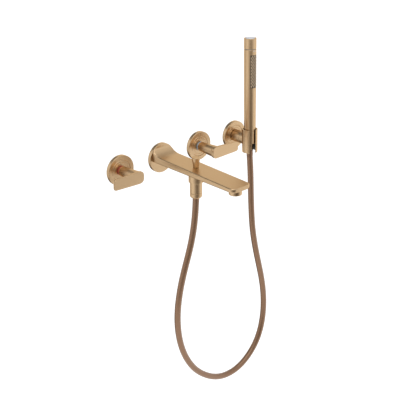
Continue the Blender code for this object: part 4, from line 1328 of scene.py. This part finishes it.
class FAUCET_OT_spout(bpy.types.Operator):
    """Flat spout with its rosette, and the aerator under its tip"""

    bl_idname = "faucet.spout"
    bl_label = "Spout"

    def execute(self, context):
        spout = Spout()
        shells = [spout.body(), self.plain_disc(spout)]
        looks = [gold("y"), turned_gold("spout_rosette", (0.0, 0.0, 0.0))]
        add_piece("flat_spout", shells, looks, "root", ["spout_body"])
        self.add_aerator()
        return {"FINISHED"}

    @staticmethod
    def plain_disc(spout):
        outline = ring_outline(NIPPLE_HOLE_R, spout.rim, spout.back, spout.front)
        ease = [0.3 * MM, sizes().rim_edge, 0.5 * MM, 0.5 * MM]
        return turned(wall_axis(0.0), outline, ease, ROSETTE_STEPS)

    @staticmethod
    def add_aerator():
        span = upright("aerator_housing")
        axis = span.axis()
        shoulder = Spout().low(-span.centre[1]) - 0.6 * MM
        outline = [
            (AERATOR_BORE_R, span.high),
            (AERATOR_THREAD_R, span.high),
            (AERATOR_THREAD_R, shoulder),
            (span.radius, shoulder),
            (span.radius, span.low),
            (AERATOR_BORE_R, span.low),
        ]
        points = eased(outline, [0.2 * MM, 0.2 * MM, 0.1 * MM, 0.5 * MM, 0.9 * MM, 0.3 * MM])
        radius, height = points.T[:, :, None]
        angle = full_turn()[None, :]
        notch = np.clip((np.cos(4.0 * angle) - 0.80) / 0.08, 0.0, 1.0)
        under = (height < span.low + 0.6 * MM) & (radius < span.radius - 1.2 * MM)
        height = height + AERATOR_NOTCH * notch * under
        shell = skin(axis.round(angle, radius, height), round_rows=True)
        look = turned_gold("aerator", tuple(axis.origin), upright=True)
        add_piece("aerator_shell", [shell], look, "root", ["aerator_housing"])

        span = upright("aerator_insert")
        radius = np.linspace(0.0, span.radius - 0.2 * MM, 70)[:, None]
        angle = full_turn(180)[None, :]
        rings = 0.5 + 0.5 * np.cos(TAU * radius / (1.9 * MM))
        spokes = 0.5 + 0.5 * np.cos(angle * np.where(radius < 0.5 * span.radius, 12.0, 24.0))
        solid = np.clip((np.maximum(rings, spokes) - 0.72) / 0.12, 0.0, 1.0)
        face = span.low + 1.6 * MM * (1.0 - solid)
        lid_r = np.array([1.0, 1.0, 0.5, 0.0])[:, None] * span.radius
        lid = np.array([span.low + 0.2 * MM, span.high, span.high, span.high])[:, None]
        grid = np.concatenate([axis.round(angle, radius, face), axis.round(angle, lid_r, lid)])
        add_piece("aerator_grid", [skin(grid)], grey_plastic(), "root", ["aerator_insert"])


# ---------------------------------------------------------------------------
# Diverter and hose outlet
# ---------------------------------------------------------------------------
KNOB_FOOT_SHARE = 0.65
ROD_R = 2.0 * MM
SEAT_R = 5.0 * MM
CHAMBER_R = 9.6 * MM
COLLAR_ROOF = 2.6 * MM
HOUSING_BORE_R = 7.4 * MM
SPIGOT_H = 6.0 * MM
THREAD_R = 9.3 * MM
NUT_CHAMFER = 2.4 * MM


class FAUCET_OT_diverter(bpy.types.Operator):
    """Pull-up knob with its rod and bush"""

    bl_idname = "faucet.diverter"
    bl_label = "Diverter"

    def execute(self, context):
        knob = upright("diverter_knob")
        axis = knob.axis()
        rod_hole = ROD_R + GAP
        half = (knob.low + knob.high) / 2.0
        outline = [
            (0.0, knob.high),
            (knob.radius, knob.high),
            (KNOB_FOOT_SHARE * knob.radius, knob.low),
            (rod_hole, knob.low),
            (rod_hole, half),
            (0.0, half),
        ]
        ease = np.array([0.0, 0.75, 0.5, 0.2, 0.2, 0.0]) * MM
        add_turned("pull_knob", "diverter_knob", axis, outline, gold("z"), "diverter", ease)

        rod = upright("diverter_rod")
        outline = [(0.0, rod.high), (rod.radius, rod.high), (rod.radius, rod.low), (0.0, rod.low)]
        steel = bare_steel()
        add_turned("knob_rod", "diverter_rod", axis, outline, steel, "diverter", 0.3 * MM, 48)

        bush = upright("diverter_bush")
        outline = ring_outline(rod_hole, bush.radius, bush.low, bush.high)
        brass = bare_brass()
        add_turned("rod_bush", "diverter_bush", axis, outline, brass, "root", 0.15 * MM, 64)
        return {"FINISHED"}


class FAUCET_OT_outlet(bpy.types.Operator):
    """Collar, screwed housing and hose nut under the spout"""

    bl_idname = "faucet.outlet"
    bl_label = "Hose outlet"

    def execute(self, context):
        collar = upright("outlet_collar")
        axis = collar.axis()
        roof = collar.high - COLLAR_ROOF
        outline = [
            (SEAT_R, collar.high),
            (collar.radius, collar.high),
            (collar.radius, collar.low),
            (CHAMBER_R, collar.low),
            (CHAMBER_R, roof),
            (SEAT_R, roof),
        ]
        look = gold("z")
        ease = np.array([0.2, 0.3, 0.8, 0.2, 0.2, 0.2]) * MM
        add_turned("collar", "outlet_collar", axis, outline, look, ease=ease)

        housing = upright("outlet_housing")
        top = collar.low - GAP
        low = housing.low + SPIGOT_H
        spigot = CHAMBER_R - GAP
        cup = housing.high - 2.0 * MM
        thread = threaded(housing.low + 0.8 * MM, low - 0.6 * MM, THREAD_R)[::-1]
        outline = np.vstack(
            [
                [(SEAT_R, housing.high), (spigot, housing.high), (spigot, top), (housing.radius, top)],
                [(housing.radius, low), (THREAD_R - sizes().thread_depth, low)],
                thread,
                [(THREAD_R - sizes().thread_depth, housing.low), (HOUSING_BORE_R, housing.low)],
                [(HOUSING_BORE_R, cup), (SEAT_R, cup)],
            ]
        )
        node = "outlet_housing"
        add_turned("check_valve_housing", node, axis, outline, look, ease=0.4 * MM)

        nut = upright("outlet_hose_nut")
        inner = THREAD_R + GAP
        mouth = HOSE_R + GAP
        floor = nut.low + 1.4 * MM
        outline = [
            (inner, nut.high),
            (nut.radius, nut.high),
            (nut.radius, nut.low + NUT_CHAMFER),
            (nut.radius - NUT_CHAMFER, nut.low),
            (mouth, nut.low),
            (mouth, floor),
            (inner, floor),
        ]
        ease = np.array([0.2, 0.6, 0.9, 0.8, 0.3, 0.1, 0.1]) * MM
        add_turned("hose_nut", "outlet_hose_nut", axis, outline, look, ease=ease)
        return {"FINISHED"}


# ---------------------------------------------------------------------------
# Hand shower
# ---------------------------------------------------------------------------
HANDSET_FOOT_SHARE = 0.9675  # radius at the foot as a share of the radius at the top
HANDSET_WALL = 1.5 * MM
HANDSET_BORE_R = 10.4 * MM
# Spray panel: its ends, as heights along the leaning axis, its half width and its depths
PANEL_LOW = 101.8 * MM
PANEL_HIGH = 168.0 * MM
PANEL_HALF_W = 8.6 * MM
PANEL_SUNK = 1.9 * MM
PANEL_INSET = 0.3 * MM
WALL_STEP = 0.06 * MM
NOZZLE_PITCH = 6.3 * MM
NOZZLE_STEP = math.radians(11.0)  # angle between two columns of nozzles
NOZZLE_COLUMNS = 7
NOZZLE_R = 2.1 * MM
NOZZLE_HOLE_R = 0.38 * MM
NOZZLE_STRETCH = (1.25, 0.8)  # how a nozzle's distance counts across and along the hand shower
MAT_T = 0.8 * MM
MARK_DROP = 2.6 * MM
MARK_HALF_W = 3.8 * MM
MARK_HALF_H = 0.45 * MM
MARK_DEPTH = 0.25 * MM
MARK_INLAY_T = 0.4 * MM
BUTTON_STEM_R = 4.5 * MM
DISH_DEPTH = 0.5 * MM
DISH_SHARE = 0.8  # the dish in the button's top, as a share of its radius
FRONT = -0.5 * math.pi  # angle about the leaning axis that faces out of the wall


def around_edges(low, high, step=WALL_STEP):
    """Values just before and after two edges, so that a step in a surface is a steep wall."""
    return np.array([low - step, low + step, high - step, high + step])


def inside(value, low, high, soft):
    """1 between low and high, falling to 0 over a short way past each."""
    return np.clip(0.5 + np.minimum(value - low, high - value) / soft, 0.0, 1.0)


class FAUCET_OT_handset(bpy.types.Operator):
    """Hand shower's tube, head, seam ring and button"""

    bl_idname = "faucet.handset"
    bl_label = "Hand shower"

    def execute(self, context):
        axis = lean_axis()
        self.add_body(axis)
        self.add_head(axis)
        return {"FINISHED"}

    @staticmethod
    def add_body(axis):
        """Tube whose radius grows from foot to top, sunk where the spray face sits: the depth is a product
        of one step round the tube and one along it. A short level mark is sunk above the spray face."""
        radius, foot, top = lean_span("handset_body")
        foot_r = HANDSET_FOOT_SHARE * radius
        edge = 0.4 * MM
        mark = top - MARK_DROP
        marks = around_edges(mark - MARK_HALF_H, mark + MARK_HALF_H)
        height = np.concatenate(
            [
                [foot + edge, foot + 2.0 * edge],
                np.linspace(foot + 3.0 * MM, top - 2.0 * MM, 40),
                around_edges(PANEL_LOW, PANEL_HIGH),
                marks,
                [top - 2.0 * edge, top - edge],
            ]
        )
        height = np.unique(height)
        half = math.asin(PANEL_HALF_W / radius)
        steep = WALL_STEP / radius
        mark_half = MARK_HALF_W / radius
        edges = [around_edges(-half, half, steep), around_edges(-mark_half, mark_half, steep)]
        angle = np.unique(np.concatenate([full_turn(120) - math.pi, *edges]))
        wall = foot_r + (radius - foot_r) * np.clip((height - foot) / (top - foot), 0.0, 1.0)
        level = height[:, None]
        in_panel = inside(level, PANEL_LOW, PANEL_HIGH, WALL_STEP) * inside(angle, -half, half, steep)
        in_mark = inside(level, mark - MARK_HALF_H, mark + MARK_HALF_H, WALL_STEP)
        in_mark = in_mark * inside(angle, -mark_half, mark_half, steep)
        outer = wall[:, None] - PANEL_SUNK * in_panel - MARK_DEPTH * in_mark
        bore = foot_r - HANDSET_WALL
        grid = axis.round(angle[None, :] + FRONT, outer, height[:, None])
        ends = np.array([(bore, top), (radius - edge, top)])
        feet = np.array([(foot_r - edge, foot), (bore, foot)])
        above = axis.round(angle[None, :] + FRONT, ends[::-1, :1], ends[::-1, 1:])
        below = axis.round(angle[None, :] + FRONT, feet[::-1, :1], feet[::-1, 1:])
        deep = bore - PANEL_SUNK
        bore_outline = np.array(
            [
                (bore, PANEL_HIGH + 2.0 * MM),
                (deep, PANEL_HIGH + 1.0 * MM),
                (deep, PANEL_LOW - 1.0 * MM),
                (bore, PANEL_LOW - 2.0 * MM),
            ]
        )
        inner = axis.round(angle[None, :] + FRONT, bore_outline[:, :1], bore_outline[:, 1:])
        shell = skin(np.concatenate([below, grid, above, inner]), round_rows=True)
        add_piece("handset_tube", [shell], gold("z"), "handset", ["handset_body"])

        mark_angle = np.linspace(-mark_half, mark_half, 13)[1:-1] + FRONT
        mark_height = np.array([mark - MARK_HALF_H + GAP / 3.0, mark + MARK_HALF_H - GAP / 3.0])[:, None]
        face_r = radius - 0.05 * MM
        inlay_r = np.array([face_r - MARK_INLAY_T, face_r, face_r, face_r - MARK_INLAY_T])[:, None]
        inlay = axis.round(mark_angle[None, :], inlay_r, mark_height[[0, 0, 1, 1]]).transpose(1, 0, 2)
        add_piece("level_mark", [skin(capped(inlay))], moulded("pale", 0.4), "handset", [])

    @staticmethod
    def add_head(axis):
        node = "handset_seam_ring"
        outline = ring_outline(HANDSET_BORE_R, *lean_span(node))
        add_turned("seam_ring", node, axis, outline, grey_plastic(), "handset", 0.1 * MM)

        radius, low, top = lean_span("handset_head")
        button_r, button_low, button_top = lean_span("spray_button")
        hole = button_r + GAP
        seat = top - 4.5 * MM
        outline = [
            (hole, top),
            (radius, top),
            (radius, low),
            (HANDSET_BORE_R, low),
            (HANDSET_BORE_R, seat - HANDSET_WALL),
            (BUTTON_STEM_R + GAP, seat - HANDSET_WALL),
            (BUTTON_STEM_R + GAP, seat),
            (hole, seat),
        ]
        ease = np.array([0.25, 0.7, 0.3, 0.2, 0.2, 0.2, 0.2, 0.2]) * MM
        add_turned("handset_cap", "handset_head", axis, outline, gold("z"), "handset", ease)

        under = top - 3.0 * MM + GAP
        dish = np.linspace(0.0, 1.0, 9)
        dish_z = button_top - DISH_DEPTH * (1.0 - dish**2)
        dish_points = np.stack([DISH_SHARE * dish * button_r, dish_z], axis=1)
        outline = np.vstack(
            [
                dish_points,
                [(button_r, button_top), (button_r, under), (BUTTON_STEM_R, under)],
                [(BUTTON_STEM_R, button_low), (0.0, button_low)],
            ]
        )
        ease = np.concatenate([np.zeros(len(dish)), np.array([0.4, 0.3, 0.2, 0.3, 0.0]) * MM])
        look = moulded("pale", 0.32)
        add_turned("push_button", "spray_button", axis, outline, look, "button", ease)


class FAUCET_OT_spray_face(bpy.types.Operator):
    """Rubber mat with staggered nozzles in the hand shower's window"""

    bl_idname = "faucet.spray_face"
    bl_label = "Spray face"

    def execute(self, context):
        axis = lean_axis()
        radius, _, _ = lean_span("handset_body")
        outer = radius - PANEL_INSET - 0.15 * MM
        inner = outer - MAT_T
        half = math.asin((PANEL_HALF_W - GAP) / radius)
        low, high = PANEL_LOW + GAP, PANEL_HIGH - GAP
        angle = np.linspace(-half, half, 96)
        height = np.linspace(low, high, 330)
        mat, tip = self.mat_radius(outer, angle[None, :], height[:, None], low, high)
        front = axis.round(angle[None, :] + FRONT, mat, height[:, None])
        flip = angle[::-1]
        back = axis.round(flip[None, :] + FRONT, inner, height[:, None])
        tips = np.hstack([tip, np.zeros_like(tip)])
        tips = np.vstack([0.0 * tips[:1], tips, 0.0 * tips[-1:]])
        values = {"nozzle": tips.reshape(-1)}
        shells = [skin(capped(np.concatenate([front, back], axis=1)))]
        add_piece("spray_mat", shells, nozzle_rubber(), "handset", ["nozzle_mat"], values)
        return {"FINISHED"}

    @staticmethod
    def mat_radius(outer, angle, height, low, high):
        """Radius of the mat's face and how near each point is to a nozzle. Every other column is shifted by
        half a pitch, so the nozzles lie on a diamond lattice. Each is a cone, the rounded sine of the
        distance left to its middle, with a hole in its tip."""
        column = np.round(angle / NOZZLE_STEP)
        column = np.clip(column, -(NOZZLE_COLUMNS // 2), NOZZLE_COLUMNS // 2)
        aside = (angle - column * NOZZLE_STEP) * outer
        shift = 0.5 * NOZZLE_PITCH * (np.mod(column, 2.0) == 0.0)
        first = low + 0.5 * NOZZLE_PITCH
        row = np.round((height - first - shift) / NOZZLE_PITCH)
        last = np.floor((high - first - shift - NOZZLE_HOLE_R) / NOZZLE_PITCH)
        row = np.clip(row, 0.0, last)
        away = height - (first + shift + row * NOZZLE_PITCH)
        distance = np.hypot(NOZZLE_STRETCH[0] * aside, NOZZLE_STRETCH[1] * away)
        cone = np.clip(1.0 - distance / NOZZLE_R, 0.0, 1.0)
        rounded = np.sin(0.5 * math.pi * cone) ** 1.3
        hole = np.clip((NOZZLE_HOLE_R - distance) / (0.12 * MM), 0.0, 1.0)
        tip = np.clip(1.5 * rounded, 0.0, 1.0) * (1.0 - 0.8 * hole)
        return outer + sizes().nozzle_height * rounded - 0.35 * MM * hole, tip


NUT_NOSE_R = 5.0 * MM
TAIL_BORE_R = 3.6 * MM


class FAUCET_OT_hose_end(bpy.types.Operator):
    """Nut and ferrule where the hose meets the hand shower"""

    bl_idname = "faucet.hose_end"
    bl_label = "Hose end"

    def execute(self, context):
        axis = lean_axis()
        radius, low, high = lean_span("handset_hose_nut")
        shoulder = lean_span("handset_body")[1] - GAP
        outline = [
            (TAIL_BORE_R, high),
            (NUT_NOSE_R, high),
            (NUT_NOSE_R, shoulder),
            (radius, shoulder),
            (radius, low),
            (TAIL_BORE_R, low),
        ]
        ease = np.array([0.2, 0.3, 0.1, 0.5, 0.5, 0.2]) * MM
        node = "handset_hose_nut"
        add_turned("handset_nut", node, axis, outline, gold("z"), "hose_end", ease)

        node = "handset_hose_tail"
        outline = ring_outline(TAIL_BORE_R, *lean_span(node))
        add_turned("hose_ferrule", node, axis, outline, hose_sheath(), "hose_end", 0.35 * MM)
        return {"FINISHED"}


# ---------------------------------------------------------------------------
# Holder
# ---------------------------------------------------------------------------
SLOT_HALF_W = 6.65 * MM
SLOT_ANGLE = FRONT + math.radians(-21.0)  # the slot's middle, about the leaning axis
LINER_R = 12.7 * MM
LINER_T = 0.8 * MM
ARM_NECK_R = 6.7 * MM
ARM_SPIGOT_R = 5.0 * MM
ARM_SPIGOT_L = 4.2 * MM
SLEEVE_EASE = (0.25 * MM, 0.5 * MM, 0.8 * MM, 0.3 * MM)
LINER_SLOT_HALF_W = 7.6 * MM
LINER_INSET = 2.0 * GAP  # how far the liner's ends stay inside the sleeve's


def slotted_tube(axis, inner, outer, low, high, ease, slot_half):
    """Tube with a slot all the way down. Its wall, a rounded rectangle of (radius, height), is carried
    round from one face of the slot to the other; the faces are flat, so at radius r the slot takes up the
    angle whose sine is its half width over r."""
    wall = eased(ring_outline(inner, outer, low, high), ease)
    radius, height = wall.T[:, None, :]
    way = np.linspace(-1.0, 1.0, 121)[:, None]
    free = math.pi - np.arcsin(np.clip(slot_half / radius, 0.0, 1.0))
    angle = SLOT_ANGLE + math.pi + way * free
    grid = axis.round(angle, radius, height)
    return skin(capped(grid))


class FAUCET_OT_holder(bpy.types.Operator):
    """Slotted sleeve with its liner, its arm and the arm's grub screw"""

    bl_idname = "faucet.holder"
    bl_label = "Holder"

    def execute(self, context):
        axis = lean_axis()
        outer, bottom, top = lean_span("holder_sleeve")
        liner_outer = LINER_R + LINER_T
        inner = liner_outer + GAP
        sleeve = slotted_tube(axis, inner, outer, bottom, top, SLEEVE_EASE, SLOT_HALF_W)
        arm = on_wall("holder_arm")
        x = arm.centre[0]
        boss_out = arm.high - ARM_SPIGOT_L + GAP
        boss = self.boss(x, arm.radius, boss_out, -axis.origin[1], inner + GAP)
        looks = [gold("z"), gold("y")]
        add_piece("slotted_sleeve", [sleeve, boss], looks, "root", ["holder_sleeve"])

        low, high = bottom + LINER_INSET, top - LINER_INSET
        liner = slotted_tube(axis, LINER_R, liner_outer, low, high, 0.2 * MM, LINER_SLOT_HALF_W)
        add_piece("soft_liner", [liner], moulded("liner", 0.5), "root", ["sleeve_liner"])

        shoulder = on_wall("holder_rosette").high + GAP
        end = arm.high - ARM_SPIGOT_L
        outline = [
            (0.0, arm.high),
            (ARM_SPIGOT_R, arm.high),
            (ARM_SPIGOT_R, end),
            (arm.radius, end),
            (arm.radius, shoulder),
            (ARM_NECK_R, shoulder),
            (ARM_NECK_R, arm.low),
            (0.0, arm.low),
        ]
        ease = np.array([0.0, 0.3, 0.1, 0.35, 0.5, 0.1, 0.4, 0.0]) * MM
        add_turned("sleeve_arm", "holder_arm", wall_axis(x), outline, gold("y"), ease=ease)
        add_grub_screw("holder_grub_screw", "root")
        return {"FINISHED"}

    @staticmethod
    def boss(x, radius, start, axis_out, bore):
        """Stub that joins the arm to the sleeve: its far end is shaped to the sleeve's bore, so at a place
        across of c it stops where the circle of the bore's radius stands, axis_out - sqrt(bore^2 - c^2)."""
        angle = full_turn()[None, :]
        edge = 0.35 * MM
        near_r = np.array([0.0, radius - 2.0 * edge, radius - edge, radius])[:, None]
        near = start + edge * np.array([0.0, 0.0, 0.0, 1.0])[:, None]
        shares = np.array([1.0, 0.8, 0.6, 0.4, 0.2, 0.0])[:, None] * radius
        across = shares * np.cos(angle)
        far = axis_out - np.sqrt(bore**2 - across**2)
        axis = wall_axis(x)
        return skin(np.concatenate([axis.round(angle, near_r, near), axis.round(angle, shares, far)]))


# ---------------------------------------------------------------------------
# CAD pieces that stay as they are
# ---------------------------------------------------------------------------
class FAUCET_OT_inner_parts(bpy.types.Operator):
    """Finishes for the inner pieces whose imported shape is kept"""

    bl_idname = "faucet.inner_parts"
    bl_label = "Inner parts"

    def execute(self, context):
        kept = {
            "hot_spindle cold_spindle handset_inlet diverter_valve": bare_brass(),
            "hot_fixed_disc hot_moving_disc cold_fixed_disc cold_moving_disc": moulded("ceramic", 0.25),
            "nipple_seal aerator_seal outlet_hose_washer diverter_seal handset_hose_washer": black_rubber(),
            "check_valve handset_waterway nozzle_plate": grey_plastic(),
            "inlet_filter fixing_plate outlet_hose_tail": bare_steel(),
        }
        for names, look in kept.items():
            for name in names.split():
                materials = frame["nodes"][name].data.materials
                materials.clear()
                materials.append(look)
        return {"FINISHED"}


# ---------------------------------------------------------------------------
# Panel and registration
# ---------------------------------------------------------------------------
STEPS = (
    FAUCET_OT_stage,
    FAUCET_OT_hose,
    FAUCET_OT_rosettes,
    FAUCET_OT_fixings,
    FAUCET_OT_handles,
    FAUCET_OT_spout,
    FAUCET_OT_diverter,
    FAUCET_OT_outlet,
    FAUCET_OT_handset,
    FAUCET_OT_spray_face,
    FAUCET_OT_hose_end,
    FAUCET_OT_holder,
    FAUCET_OT_inner_parts,
)


class FAUCET_PT_panel(bpy.types.Panel):
    """Lists the faucet's operators and settings"""

    bl_idname = "FAUCET_PT_panel"
    bl_label = "Bath faucet"
    bl_space_type = "VIEW_3D"
    bl_region_type = "UI"
    bl_category = "Bath faucet"

    def draw(self, context):
        for step in STEPS:
            self.layout.operator(step.bl_idname)
        for group in (context.scene.faucet_sizes, context.scene.faucet_colours):
            box = self.layout.box()
            for key in group.bl_rna.properties.keys():
                if key not in {"rna_type", "name"}:
                    box.prop(group, key)


CLASSES = (FaucetSizes, FaucetColours, *STEPS, FAUCET_PT_panel)


def register():
    for item in CLASSES:
        bpy.utils.register_class(item)
    bpy.types.Scene.faucet_sizes = PointerProperty(type=FaucetSizes)
    bpy.types.Scene.faucet_colours = PointerProperty(type=FaucetColours)


def unregister():
    del bpy.types.Scene.faucet_colours
    del bpy.types.Scene.faucet_sizes
    for item in reversed(CLASSES):
        bpy.utils.unregister_class(item)


def main():
    register()
    for step in STEPS:
        group, name = step.bl_idname.split(".")
        getattr(getattr(bpy.ops, group), name)()


if __name__ == "__main__":
    main()
